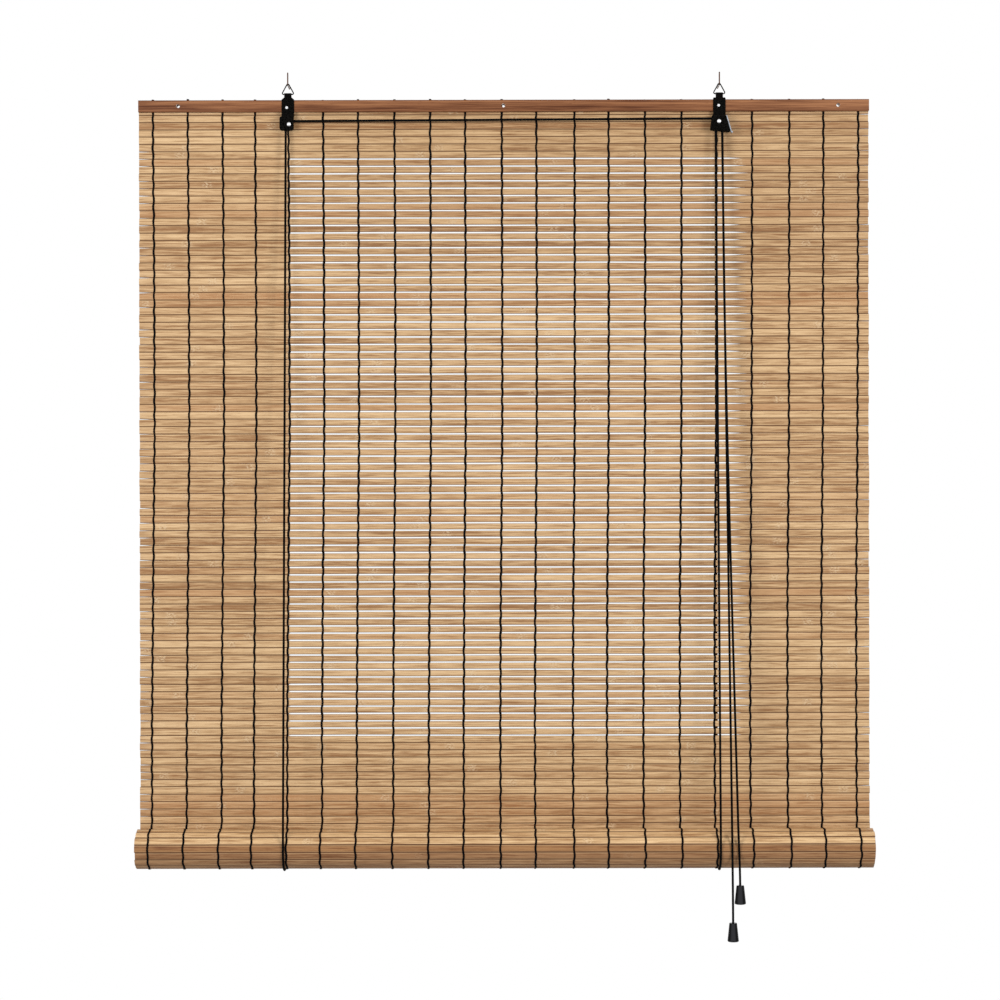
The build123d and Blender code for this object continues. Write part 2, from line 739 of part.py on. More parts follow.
# The lock lever: a cam between the cheeks whose toothed nose pinches the cords against the
# pulleys' side, with a slanting outer edge and a curl to push it by.
nose_x = pull_x + CORD_R + LEVER_GAP
nose_top_z = pin_z - LEVER_NOSE_DROP
nose_base_z = nose_top_z - LEVER_NOSE_H
tooth_h = LEVER_NOSE_H / LEVER_TEETH
outer_top = (HOOK_X + RIGHT_TOP_RIGHT + LEVER_LIP, housing_top_z)
outer_base = (HOOK_X + RIGHT_BASE_RIGHT + LEVER_LIP, right_base_z)
teeth = []
for tooth in range(LEVER_TEETH):
    teeth.append((nose_x, nose_top_z - tooth * tooth_h))
    teeth.append((nose_x + LEVER_TOOTH, nose_top_z - (tooth + 1) * tooth_h))
lever_depth = plate_front_y - right_cheek_y - 2 * LEVER_SIDE_FIT
with BuildPart() as lock_lever:
    with BuildSketch(Plane.XZ.offset(-(plate_front_y - LEVER_SIDE_FIT))):
        with BuildLine():
            Polyline(
                *teeth,
                (nose_x + LEVER_BOSS_R, nose_base_z - LEVER_BOSS_R),
                (outer_base[0] - 2 * LEVER_BOSS_R, outer_base[1] + LEVER_BOSS_R),
                outer_base,
                outer_top,
                (pin_x, pin_z + LEVER_BOSS_R),
                close=True,
            )
        make_face()
        with Locations((pin_x, pin_z)):
            Circle(LEVER_BOSS_R)
        with Locations(outer_base):
            Circle(LEVER_CURL_R)
        with Locations((pin_x, pin_z)):
            Circle(PIN_R + AXLE_FIT, mode=Mode.SUBTRACT)
    extrude(amount=lever_depth)
save(lock_lever.part, "lock_lever")

# Lift cords. Each runs up behind the mat to its anchor, under the roll, up the front to its
# pulley, and on to the lock.


def front_run(name, top_x, loop_x, y, axle_z):
    """The front stretch of a lift cord, from its pulley down to the front of the roll."""
    points = (
        (top_x, y, axle_z),
        (top_x, y, axle_z - RUN_LEAD),
        (loop_x, loop_front_y, loop_top_z + RUN_TAIL),
        (loop_x, loop_front_y, loop_top_z),
    )
    save(cord_tube(name, points), name)


def lift_loop(name, x):
    """The loop of a lift cord under the roll, as tight as the roll makes it."""
    points = (
        (x, loop_front_y, loop_top_z),
        (x, loop_front_y, loop_bottom_z),
        (x, BACK_RUN_Y, loop_bottom_z),
        (x, BACK_RUN_Y, loop_top_z),
    )
    save(cord_tube(name, points, tight=((0, loop_r), (1, LOOP_BACK_R))), name)


front_run("lift_left_front", left_run_x, left_loop_x, rear_pulley_y, left_axle_z)
front_run("lift_right_front", right_run_x, right_loop_x, front_pulley_y, right_axle_z)
lift_loop("lift_left_loop", left_loop_x)
lift_loop("lift_right_loop", right_loop_x)
anchor_z = rail_bottom_z + BACK_ANCHOR
save(straight_cord(left_loop_x, BACK_RUN_Y, loop_top_z, anchor_z), "lift_left_back")
save(straight_cord(right_loop_x, BACK_RUN_Y, loop_top_z, anchor_z), "lift_right_back")

cross_points = (
    (left_run_x, rear_pulley_y, left_axle_z),
    (left_run_x, rear_pulley_y, left_axle_z + cord_bend_r),
    (pull_x, rear_pulley_y, right_axle_z + cord_bend_r),
    (pull_x, rear_pulley_y, right_axle_z),
)
cross_bends = ((0, cord_bend_r - CORD_FIT), (1, cord_bend_r - CORD_FIT))
save(cord_tube("cross_cord", cross_points, tight=cross_bends), "cross_cord")

wrap_points = (
    (right_run_x, front_pulley_y, right_axle_z),
    (right_run_x, front_pulley_y, right_axle_z + cord_bend_r),
    (pull_x, front_pulley_y, right_axle_z + cord_bend_r),
    (pull_x, front_pulley_y, right_axle_z),
)
wrap_bends = ((0, cord_bend_r - CORD_FIT / 2), (1, cord_bend_r - CORD_FIT / 2))
save(cord_tube("right_wrap", wrap_points, tight=wrap_bends), "right_wrap")

save(cord_tube("pull_cord_rear", PULL_REAR_POINTS), "pull_cord_rear")
save(cord_tube("pull_cord_front", PULL_FRONT_POINTS), "pull_cord_front")


def make_tassel(x, y, pocket_z):
    """A turned cone with a rounded rim, drilled for the cord and bored below for its knot."""
    base_z = pocket_z - KNOT_POCKET_H
    top_z = base_z + TASSEL_H
    with BuildPart() as tassel:
        with BuildSketch(Plane((x, y, 0), x_dir=(1, 0, 0), z_dir=(0, -1, 0))) as half:
            with BuildLine():
                Polyline(
                    (0, base_z),
                    (TASSEL_BASE_R, base_z),
                    (TASSEL_TOP_R, top_z),
                    (0, top_z),
                    close=True,
                )
            make_face()
            rim = half.vertices().filter_by(lambda v: v.X > TASSEL_RIM_R)
            fillet(rim, TASSEL_RIM_R)
        revolve(axis=Axis((x, y, 0), (0, 0, 1)))
        with BuildSketch(Plane.XY.offset(top_z)):
            with Locations((x, y)):
                Circle(CORD_R + TASSEL_HOLE_FIT)
        extrude(amount=-TASSEL_H, mode=Mode.SUBTRACT)
        with BuildSketch(Plane.XY.offset(base_z)):
            with Locations((x, y)):
                Circle(KNOT_R + KNOT_POCKET_FIT)
        extrude(amount=KNOT_POCKET_H, mode=Mode.SUBTRACT)
    return tassel.part


save(make_tassel(*PULL_FRONT_POINTS[-1]), "tassel_high")
save(make_tassel(*PULL_REAR_POINTS[-1]), "tassel_low")

# The knots that hold the tassels up, each against the ceiling of its tassel's pocket.
with BuildPart() as tassel_knots:
    for x, y, pocket_z in (PULL_FRONT_POINTS[-1], PULL_REAR_POINTS[-1]):
        with BuildSketch(Plane.XY.offset(pocket_z)):
            with Locations((x, y)):
                Circle(KNOT_R)
        extrude(amount=-KNOT_H)
save(tassel_knots.part, "tassel_knots")
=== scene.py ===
"""Looks of a bamboo roll-up blind: slats, yarns, roll, cords and the finish of every piece.

Lengths are in metres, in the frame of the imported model: +X to the right, +Y towards the wall
and +Z up, with the origin midway between the two wall hooks.
"""

import json
import logging
import math
from dataclasses import dataclass, field
from enum import Enum

import bpy
import numpy as np
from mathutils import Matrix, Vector


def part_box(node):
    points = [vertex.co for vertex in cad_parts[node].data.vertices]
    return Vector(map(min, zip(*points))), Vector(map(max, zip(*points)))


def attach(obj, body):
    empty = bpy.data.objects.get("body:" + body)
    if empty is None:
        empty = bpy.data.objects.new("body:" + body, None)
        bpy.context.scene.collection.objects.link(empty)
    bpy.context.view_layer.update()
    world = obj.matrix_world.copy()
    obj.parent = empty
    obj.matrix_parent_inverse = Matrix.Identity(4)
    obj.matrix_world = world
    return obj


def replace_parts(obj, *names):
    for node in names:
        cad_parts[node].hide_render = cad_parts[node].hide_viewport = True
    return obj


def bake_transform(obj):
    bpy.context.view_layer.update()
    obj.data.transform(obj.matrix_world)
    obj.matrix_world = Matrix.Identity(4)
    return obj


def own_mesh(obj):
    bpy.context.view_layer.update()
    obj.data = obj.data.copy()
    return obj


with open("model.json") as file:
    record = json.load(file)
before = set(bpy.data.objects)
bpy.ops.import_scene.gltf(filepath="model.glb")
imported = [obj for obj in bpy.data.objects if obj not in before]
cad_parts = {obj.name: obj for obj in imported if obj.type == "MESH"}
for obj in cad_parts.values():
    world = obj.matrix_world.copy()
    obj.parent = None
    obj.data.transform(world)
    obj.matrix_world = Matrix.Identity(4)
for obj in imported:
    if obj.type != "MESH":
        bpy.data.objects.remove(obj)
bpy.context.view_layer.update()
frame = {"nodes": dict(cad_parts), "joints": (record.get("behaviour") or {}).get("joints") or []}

LOG = logging.getLogger("bamboo_blind")

MM = 0.001
SLAT_HALF = 4.5 * MM
GRAIN_MAP = "grain"
STRIP_NUMBER = "strip_number"
STRIP_TINT = "strip_tint"

Triple = tuple[float, float, float]
Colour = tuple[float, float, float, float]
Source = float | Triple | Colour | bpy.types.NodeSocket


class Joint(Enum):
    """Names of the model's joints."""

    ROLL_RISE = "roll_rise"


class Body(Enum):
    """Names of the moving bodies that the made pieces ride on."""

    BLIND = "blind"
    LIFT = "lift"
    ROLL = "roll"
    TASSELS = "tassels"


class Yarn(Enum):
    """The two yarns of a pair, by the face of the top slat that each one crosses."""

    FRONT_FIRST = 1
    REAR_FIRST = -1


def linear(red: float, green: float, blue: float) -> Colour:
    """Turns a given colour into the shader's scale.

    Args:
        red: Red from 0 to 255.
        green: Green from 0 to 255.
        blue: Blue from 0 to 255.

    Returns:
        The linear colour with full opacity.
    """
    parts = [channel / 255 for channel in (red, green, blue)]
    low, power = 0.04045, 2.4
    made = [p / 12.92 if p <= low else ((p + 0.055) / 1.055) ** power for p in parts]
    return (made[0], made[1], made[2], 1.0)


def smooth_step(value: np.ndarray, low: float, high: float) -> np.ndarray:
    """Eases from 0 at low to 1 at high.

    Args:
        value: Places to ease.
        low: Where the step starts.
        high: Where the step ends.

    Returns:
        The eased values.
    """
    share = np.clip((value - low) / (high - low), 0.0, 1.0)
    return share * share * (3 - 2 * share)


class Graph:
    """Lays out the nodes of one shader tree."""

    def __init__(self, tree: bpy.types.NodeTree) -> None:
        """Starts on an empty tree.

        Args:
            tree: The tree to fill.
        """
        self.tree = tree

    def node(
        self, kind: str, feeds: dict[int | str, Source] | None = None, **settings: object
    ) -> bpy.types.Node:
        """Adds a node.

        Args:
            kind: The node's type name.
            feeds: What goes into its sockets, by name or place.
            settings: The node's own options.

        Returns:
            The node.
        """
        made = self.tree.nodes.new(kind)
        for name, value in settings.items():
            setattr(made, name, value)
        for key, value in (feeds or {}).items():
            self.feed(made.inputs[key], value)
        return made

    def feed(self, socket: bpy.types.NodeSocket, value: Source) -> None:
        """Links a socket, or sets it where the value is a constant.

        Args:
            socket: The socket to fill.
            value: A constant or an output socket.
        """
        if isinstance(value, bpy.types.NodeSocket):
            self.tree.links.new(value, socket)
        else:
            socket.default_value = value

    def math(
        self, operation: str, first: Source, second: Source = 0.0, third: Source = 0.0
    ) -> bpy.types.NodeSocket:
        """Adds a Math node.

        Args:
            operation: What it does.
            first: First operand.
            second: Second operand.
            third: Third operand, where there is one.

        Returns:
            The result.
        """
        return self.node("ShaderNodeMath", {0: first, 1: second, 2: third}, operation=operation).outputs[0]

    def times(self, first: Source, second: Source) -> bpy.types.NodeSocket:
        """Multiplies two numbers."""
        return self.math("MULTIPLY", first, second)

    def step(
        self, value: Source, low: float, high: float, start: float = 0.0, end: float = 1.0
    ) -> bpy.types.NodeSocket:
        """Adds a clamped, smooth map from low..high to start..end.

        Args:
            value: What is mapped.
            low: Where the map starts.
            high: Where the map ends.
            start: Result at low.
            end: Result at high.

        Returns:
            The mapped value.
        """
        feeds = {"Value": value, "From Min": low, "From Max": high, "To Min": start, "To Max": end}
        return self.node("ShaderNodeMapRange", feeds, interpolation_type="SMOOTHSTEP").outputs["Result"]

    def mix(self, share: Source, first: Source, second: Source, blend: str = "MIX") -> bpy.types.NodeSocket:
        """Mixes two colours.

        Args:
            share: How much of the second one.
            first: First colour.
            second: Second colour.
            blend: Blending mode.

        Returns:
            The mixed colour.
        """
        feeds = {0: share, 6: first, 7: second}
        made = self.node("ShaderNodeMix", feeds, data_type="RGBA", blend_type=blend, clamp_factor=True)
        return made.outputs[2]

    def noise(
        self, place: Source, scale: Source, detail: float = 2.0, roughness: float = 0.5
    ) -> bpy.types.NodeSocket:
        """Adds a noise texture.

        Args:
            place: Where it is read.
            scale: Its scale.
            detail: Its octaves.
            roughness: How much the octaves count.

        Returns:
            The grey value.
        """
        feeds = {"Vector": place, "Scale": scale, "Detail": detail, "Roughness": roughness}
        return self.node("ShaderNodeTexNoise", feeds).outputs["Fac"]

    def point(self, x: Source, y: Source, z: Source = 0.0) -> bpy.types.NodeSocket:
        """Joins three numbers into a vector."""
        return self.node("ShaderNodeCombineXYZ", {0: x, 1: y, 2: z}).outputs[0]

    def streaks(
        self,
        place: tuple[Source, Source, Source],
        stretch: tuple[float, float],
        detail: float = 2.0,
        roughness: float = 0.5,
    ) -> bpy.types.NodeSocket:
        """Adds noise that is drawn out one way.

        Args:
            place: Lengthwise and crosswise place, and a third number that tells one pattern from the next.
            stretch: Scales along and across.
            detail: The noise's octaves.
            roughness: How much the octaves count.

        Returns:
            The grey value.
        """
        along, across, other = place
        drawn = self.point(self.times(along, stretch[0]), self.times(across, stretch[1]), other)
        return self.noise(drawn, 1.0, detail, roughness)

    def parts(self, vector: Source) -> tuple[bpy.types.NodeSocket, ...]:
        """Splits a vector into its three numbers."""
        return tuple(self.node("ShaderNodeSeparateXYZ", {0: vector}).outputs)

    def ramp(self, value: Source, stops: list[tuple[float, Colour]]) -> bpy.types.NodeSocket:
        """Adds a colour ramp.

        Args:
            value: Where on the ramp.
            stops: Places and colours, from low to high.

        Returns:
            The colour.
        """
        made = self.node("ShaderNodeValToRGB", {0: value})
        marks = made.color_ramp.elements
        while len(marks) < len(stops):
            marks.new(1.0)
        for mark, (place, colour) in zip(marks, stops):
            mark.position = place
            mark.color = colour
        return made.outputs["Color"]

    def bump(self, height: Source, depth: float, strength: float = 1.0) -> bpy.types.NodeSocket:
        """Adds a Bump node.

        Args:
            height: Height from 0 to 1.
            depth: Real depth of that height.
            strength: How strongly it shows.

        Returns:
            The bumped normal.
        """
        feeds = {"Height": height, "Distance": depth, "Strength": strength}
        return self.node("ShaderNodeBump", feeds).outputs[0]

    def group(self, shared: bpy.types.NodeTree, feeds: dict[str, Source]) -> bpy.types.Node:
        """Places a shared node group.

        Args:
            shared: The group's tree.
            feeds: What goes into its sockets.

        Returns:
            The group node.
        """
        made = self.tree.nodes.new("ShaderNodeGroup")
        made.node_tree = shared
        for name, value in feeds.items():
            self.feed(made.inputs[name], value)
        return made


class GroupMaker:
    """Starts a shared node group with named inputs and outputs."""

    def __init__(self, name: str, inputs: dict[str, float | None], outputs: list[str]) -> None:
        """Makes the group's sockets.

        Args:
            name: The group's name.
            inputs: Input names, with a default number, or None for a vector.
            outputs: Names of the grey outputs.
        """
        self.tree = bpy.data.node_groups.new(name, "ShaderNodeTree")
        for socket, default in inputs.items():
            kind = "NodeSocketVector" if default is None else "NodeSocketFloat"
            made = self.tree.interface.new_socket(name=socket, in_out="INPUT", socket_type=kind)
            if default is not None:
                made.default_value = default
        for socket in outputs:
            self.tree.interface.new_socket(name=socket, in_out="OUTPUT", socket_type="NodeSocketFloat")
        self.graph = Graph(self.tree)
        self.given = self.tree.nodes.new("NodeGroupInput").outputs
        self.result = self.tree.nodes.new("NodeGroupOutput").inputs

    def give(self, name: str, value: bpy.types.NodeSocket) -> None:
        """Links one output of the group."""
        self.tree.links.new(value, self.result[name])


class SharedEffects:
    """The shader node groups that several finishes use, each built once."""

    def __init__(self) -> None:
        """Builds every group."""
        self.grain = self.lengthwise_grain()
        self.wear = self.edge_wear()
        self.mottle = self.fine_mottle()
        self.strand = self.strand_lay()

    @staticmethod
    def lengthwise_grain() -> bpy.types.NodeTree:
        """Fibre streaks that run along the first axis of Place.

        Returns:
            The group, with the outputs Streak and Height.
        """
        inputs = {"Place": None, "Along": 9.0, "Across": 900.0, "Seed": 0.0}
        maker = GroupMaker("lengthwise_grain", inputs, ["Streak", "Height"])
        broad_share, fine_share, fine_scale = 0.62, 0.38, 3.1
        graph, given = maker.graph, maker.given
        x, y, z = graph.parts(given["Place"])
        depth = graph.math("MULTIPLY_ADD", z, given["Across"], given["Seed"])
        place = graph.point(graph.times(x, given["Along"]), graph.times(y, given["Across"]), depth)
        broad = graph.noise(place, 1.0, 4.0, 0.62)
        fine = graph.noise(place, fine_scale, 2.0, 0.55)
        both = graph.math("ADD", graph.times(broad, broad_share), graph.times(fine, fine_share))
        maker.give("Streak", graph.step(both, 0.32, 0.68))
        maker.give("Height", fine)
        return maker.tree

    @staticmethod
    def edge_wear() -> bpy.types.NodeTree:
        """Rubbed edges, broken up by noise.

        Returns:
            The group, with the output Mask.
        """
        maker = GroupMaker("edge_wear", {"Place": None, "Scale": 300.0, "Reach": 0.5}, ["Mask"])
        graph, given = maker.graph, maker.given
        edge = graph.node("ShaderNodeNewGeometry").outputs["Pointiness"]
        sharp = graph.step(edge, 0.52, 0.62)
        broken = graph.step(graph.noise(given["Place"], given["Scale"], 3.0, 0.6), 0.42, 0.62)
        maker.give("Mask", graph.times(graph.times(sharp, broken), given["Reach"]))
        return maker.tree

    @staticmethod
    def fine_mottle() -> bpy.types.NodeTree:
        """Uneven film, dust and small pits.

        Returns:
            The group, with the outputs Mask and Height.
        """
        maker = GroupMaker("fine_mottle", {"Place": None, "Scale": 220.0}, ["Mask", "Height"])
        graph, given = maker.graph, maker.given
        cloud = graph.noise(given["Place"], given["Scale"], 4.0, 0.6)
        finer = 9.0
        fine = graph.noise(given["Place"], graph.times(given["Scale"], finer), 2.0, 0.6)
        maker.give("Mask", graph.step(cloud, 0.35, 0.7))
        maker.give("Height", graph.math("MULTIPLY_ADD", fine, 0.4, graph.times(cloud, 0.6)))
        return maker.tree

    @staticmethod
    def strand_lay() -> bpy.types.NodeTree:
        """Ridges of strands wound round a yarn or a cord, one way or both ways.

        Returns:
            The group, with the output Height.
        """
        inputs = {"Along": 0.0, "Around": 0.0, "Strands": 3.0, "Lay": 0.004, "Braid": 0.0}
        maker = GroupMaker("strand_lay", inputs, ["Height"])
        graph, given = maker.graph, maker.given
        turns = graph.math("DIVIDE", given["Along"], given["Lay"])
        around = graph.times(given["Around"], given["Strands"])
        one_way = graph.math("SINE", graph.times(graph.math("ADD", around, turns), math.tau))
        other_way = graph.math("SINE", graph.times(graph.math("SUBTRACT", around, turns), math.tau))
        crossed = graph.times(one_way, other_way)
        split = graph.math("SUBTRACT", 1.0, given["Braid"])
        both = graph.math("ADD", graph.times(one_way, split), graph.times(crossed, given["Braid"]))
        maker.give("Height", graph.math("MULTIPLY_ADD", both, 0.5, 0.5))
        return maker.tree


EFFECTS = SharedEffects()


@dataclass(frozen=True)
class Finish:
    """A finish that one material shows."""

    name: str
    slot: str

    def material(self) -> bpy.types.Material:
        """Returns the material, made at its first use."""
        title = f"{self.name}_finish"
        found = bpy.data.materials.get(title)
        if found is not None:
            return found
        made = bpy.data.materials.new(title)
        made.use_nodes = True
        made.node_tree.nodes.clear()
        graph = Graph(made.node_tree)
        shader = graph.node("ShaderNodeBsdfPrincipled")
        graph.node("ShaderNodeOutputMaterial", {"Surface": shader.outputs[0]})
        self.paint(graph, shader)
        return made

    def paint(self, graph: Graph, shader: bpy.types.Node) -> None:
        """Feeds the shader. Each finish has its own way.

        Args:
            graph: The material's tree.
            shader: The Principled BSDF.
        """
        raise NotImplementedError

    def dress(self, piece: bpy.types.Object) -> None:
        """Gives a piece this finish on every material slot.

        Args:
            piece: A carried-over node or a made piece.
        """
        if not piece.material_slots:
            piece.data.materials.append(self.material())
        for place in piece.material_slots:
            place.material = self.material()


def object_place(graph: Graph) -> bpy.types.NodeSocket:
    """Returns the place on the piece in metres, which turns and moves with it."""
    return graph.node("ShaderNodeTexCoord").outputs["Object"]


def grain_place(graph: Graph) -> tuple[bpy.types.NodeSocket, ...]:
    """Returns the lengthwise and crosswise places of a swept strip."""
    return graph.parts(graph.node("ShaderNodeUVMap", uv_map=GRAIN_MAP).outputs[0])


def strip_number(graph: Graph) -> bpy.types.NodeSocket:
    """Returns the number that tells one swept strip from the next."""
    return graph.node("ShaderNodeAttribute", attribute_name=STRIP_NUMBER).outputs["Fac"]


def strip_tint(graph: Graph) -> bpy.types.NodeSocket:
    """Returns the tint that a swept strip has been given, white where it has none."""
    return graph.node("ShaderNodeAttribute", attribute_name=STRIP_TINT).outputs["Vector"]


def weighed(graph: Graph, parts: tuple[tuple[bpy.types.NodeSocket, float], ...]) -> Source:
    """Adds up greys by their weights, about a middle of one half.

    Args:
        graph: The material's tree.
        parts: Each grey and its weight.

    Returns:
        The sum.
    """
    total: Source = 0.5
    for part, weight in parts:
        total = graph.math("MULTIPLY_ADD", graph.math("SUBTRACT", part, 0.5), weight, total)
    return total


@dataclass(frozen=True)
class SplitBamboo(Finish):
    """Split bamboo: fibres, culm nodes with pale flecks, and slats of uneven tone, with a painted highlight
    along each slat's edges and painted shade along its lower edge.
    """

    pale: Colour
    middle: Colour
    deep: Colour
    ruddy: Colour
    # painted highlight: the pale band along both edges of every slat
    painted_rim_highlight: Colour
    # colour of the dark joint lines, also used for the painted shade along each slat's lower edge
    joint: Colour
    node_pitch: float = 0.27
    node_half: float = 8.5 * MM

    FLECK = linear(232, 207, 170)
    KNOT = linear(128, 82, 46)
    SPECK = linear(110, 72, 42)
    FLECK_SHARE = 0.62
    KNOT_SHARE = 0.65
    SEED_STEP = 7.31
    GRAIN_SCALES = (16.0, 950.0)
    DRIFT_SCALE = 5.0
    BAND_STRETCH = (8.0, 380.0)
    FIBRE_STRETCH = (34.0, 640.0)
    SPECK_STRETCH = (260.0, 1300.0)
    SPECK_STEP = (0.71, 0.80, 0.0, 0.55)
    WARM_CHANCE = (0.55, 1.0)
    WARM_DRIFT = (0.35, 0.75, 0.25, 0.75)
    # edge bands: the painted highlight on both edges, the painted shade on the lower edge, and the dark
    # joint line
    PAINTED_RIM_HIGHLIGHT_STEP = (0.62, 0.80, 0.34)
    PAINTED_LOW_EDGE_SHADE_STEP = (0.70, 0.90, 0.80)
    EDGE_STEP = (0.84, 0.97, 0.88)
    ROUGHNESS = (0.62, 0.48)
    FIBRE_DEPTH = 0.10 * MM

    def paint(self, graph: Graph, shader: bpy.types.Node) -> None:
        """Feeds colour with its painted edge highlight and painted low-edge shade, roughness and fibres."""
        along, across, _ = grain_place(graph)
        number = strip_number(graph)
        chance = graph.node("ShaderNodeTexWhiteNoise", {"W": number}, noise_dimensions="1D")
        red, green, blue = graph.parts(chance.outputs["Color"])
        seed = graph.times(number, self.SEED_STEP)
        lengthwise, crosswise = self.GRAIN_SCALES
        feeds = {"Place": graph.point(along, across), "Along": lengthwise, "Across": crosswise, "Seed": seed}
        grain = graph.group(EFFECTS.grain, feeds)
        drift = graph.noise(graph.point(graph.times(along, self.DRIFT_SCALE), seed), 1.0, 3.0, 0.6)
        place = (along, across, seed)
        band = graph.streaks(place, self.BAND_STRETCH)
        fibre = graph.streaks(place, self.FIBRE_STRETCH, 3.0, 0.6)
        tone = self.tone(graph, red, grain.outputs["Streak"], drift, band, fibre)
        colour = graph.ramp(tone, [(0.0, self.deep), (0.5, self.middle), (1.0, self.pale)])
        warm = graph.times(graph.step(green, *self.WARM_CHANCE), graph.step(drift, *self.WARM_DRIFT))
        colour = graph.mix(warm, colour, self.ruddy)
        fleck, knot = self.culm_node(graph, along, across, blue, number)
        colour = graph.mix(graph.times(fleck, self.FLECK_SHARE), colour, self.FLECK)
        colour = graph.mix(graph.times(knot, self.KNOT_SHARE), colour, self.KNOT)
        specks = graph.streaks(place, self.SPECK_STRETCH, 1.0)
        colour = graph.mix(graph.step(specks, *self.SPECK_STEP), colour, self.SPECK)
        colour = graph.mix(1.0, colour, strip_tint(graph), "MULTIPLY")
        edge = graph.math("ABSOLUTE", across)
        low_edge = graph.times(across, -1.0)
        # painted highlight along both edges, then painted shade along the lower edge, then the dark joint
        # line on both edges
        colour = graph.mix(self.edge_mask(graph, edge, self.PAINTED_RIM_HIGHLIGHT_STEP), colour, self.painted_rim_highlight)
        colour = graph.mix(self.edge_mask(graph, low_edge, self.PAINTED_LOW_EDGE_SHADE_STEP), colour, self.joint)
        colour = graph.mix(self.edge_mask(graph, edge, self.EDGE_STEP), colour, self.joint)
        graph.feed(shader.inputs["Base Color"], colour)
        rough = graph.step(grain.outputs["Streak"], 0.0, 1.0, *self.ROUGHNESS)
        graph.feed(shader.inputs["Roughness"], rough)
        height = graph.math("MULTIPLY_ADD", fleck, 0.5, grain.outputs["Height"])
        graph.feed(shader.inputs["Normal"], graph.bump(height, self.FIBRE_DEPTH, 0.8))
        shader.inputs["Specular IOR Level"].default_value = 0.32

    @staticmethod
    def edge_mask(graph: Graph, place: bpy.types.NodeSocket, step: Triple) -> bpy.types.NodeSocket:
        """Marks a slat's edge.

        Args:
            graph: The material's tree.
            place: Crosswise place.
            step: Where the mask starts and ends, in slat half widths, and how strong it is there.

        Returns:
            The mask.
        """
        low, high, strength = step
        return graph.step(place, SLAT_HALF * low, SLAT_HALF * high, 0.0, strength)

    @staticmethod
    def tone(
        graph: Graph,
        slat: bpy.types.NodeSocket,
        streak: bpy.types.NodeSocket,
        drift: bpy.types.NodeSocket,
        band: bpy.types.NodeSocket,
        fibre: bpy.types.NodeSocket,
    ) -> bpy.types.NodeSocket:
        """Adds up what makes the bamboo lighter or darker.

        Args:
            graph: The material's tree.
            slat: Chance of the slat, from 0 to 1.
            streak: Fibres.
            drift: Slow change along the slat.
            band: Lengthwise bands.
            fibre: Bundles of fibres that run out within a few centimetres.

        Returns:
            The tone from 0, deep, to 1, pale.
        """
        return weighed(graph, ((slat, 0.42), (streak, 0.7), (drift, 0.8), (band, 1.4), (fibre, 1.9)))

    def culm_node(
        self,
        graph: Graph,
        along: bpy.types.NodeSocket,
        across: bpy.types.NodeSocket,
        chance: bpy.types.NodeSocket,
        number: bpy.types.NodeSocket,
    ) -> tuple[bpy.types.NodeSocket, bpy.types.NodeSocket]:
        """Marks the culm's nodes, one every node_pitch or so along each slat.

        Args:
            graph: The material's tree.
            along: Lengthwise place.
            across: Crosswise place.
            chance: Where the slat's nodes start.
            number: The slat's number.

        Returns:
            Masks of the pale flecks and of the brown ones.
        """
        head_start, kept_step, centre_spread = 9.0, (0.25, 0.35), (0.5, 0.25)
        pale_step, brown_step = (0.46, 0.60), (0.43, 0.33)
        turn = graph.math("DIVIDE", along, self.node_pitch)
        turn = graph.math("ADD", turn, graph.times(chance, head_start))
        cell = graph.math("FLOOR", turn)
        key = graph.point(cell, number, 0.0)
        luck = graph.node("ShaderNodeTexWhiteNoise", {"Vector": key}, noise_dimensions="2D")
        shift, kept, _ = graph.parts(luck.outputs["Color"])
        centre = graph.math("MULTIPLY_ADD", shift, *centre_spread)
        inside = graph.math("SUBTRACT", graph.math("SUBTRACT", turn, cell), centre)
        away = graph.times(graph.math("ABSOLUTE", inside), self.node_pitch)
        patch = graph.step(away, self.node_half * 0.35, self.node_half, 1.0, 0.0)
        patch = graph.times(patch, graph.step(kept, *kept_step))
        slanted = graph.math("ADD", graph.times(along, 330.0), graph.times(across, 260.0))
        cross_slant = graph.math("SUBTRACT", graph.times(across, 620.0), graph.times(along, 120.0))
        flecks = graph.noise(graph.point(slanted, cross_slant, number), 1.0, 3.0, 0.6)
        pale = graph.times(patch, graph.step(flecks, *pale_step))
        brown = graph.times(patch, graph.step(flecks, *brown_step))
        return pale, brown


@dataclass(frozen=True)
class CutBamboo(Finish):
    """Sawn slat ends: darker, with the dots of the bundles."""

    colour: Colour
    dots: Colour

    DOT_SCALE = 3600.0
    DOT_STEP = (0.18, 0.4, 0.7, 0.0)
    CLOUD_SCALE = 500.0
    CLOUD_SHARE = 0.3

    def paint(self, graph: Graph, shader: bpy.types.Node) -> None:
        """Feeds the end grain."""
        place = object_place(graph)
        dots = graph.node("ShaderNodeTexVoronoi", {"Vector": place, "Scale": self.DOT_SCALE})
        mottle = graph.group(EFFECTS.mottle, {"Place": place, "Scale": self.CLOUD_SCALE})
        dot = graph.step(dots.outputs["Distance"], *self.DOT_STEP)
        colour = graph.mix(dot, self.colour, self.dots)
        colour = graph.mix(graph.times(mottle.outputs["Mask"], self.CLOUD_SHARE), colour, self.dots)
        graph.feed(shader.inputs["Base Color"], colour)
        graph.feed(shader.inputs["Normal"], graph.bump(mottle.outputs["Height"], 0.1 * MM, 0.6))
        shader.inputs["Roughness"].default_value = 0.8
        shader.inputs["Specular IOR Level"].default_value = 0.2


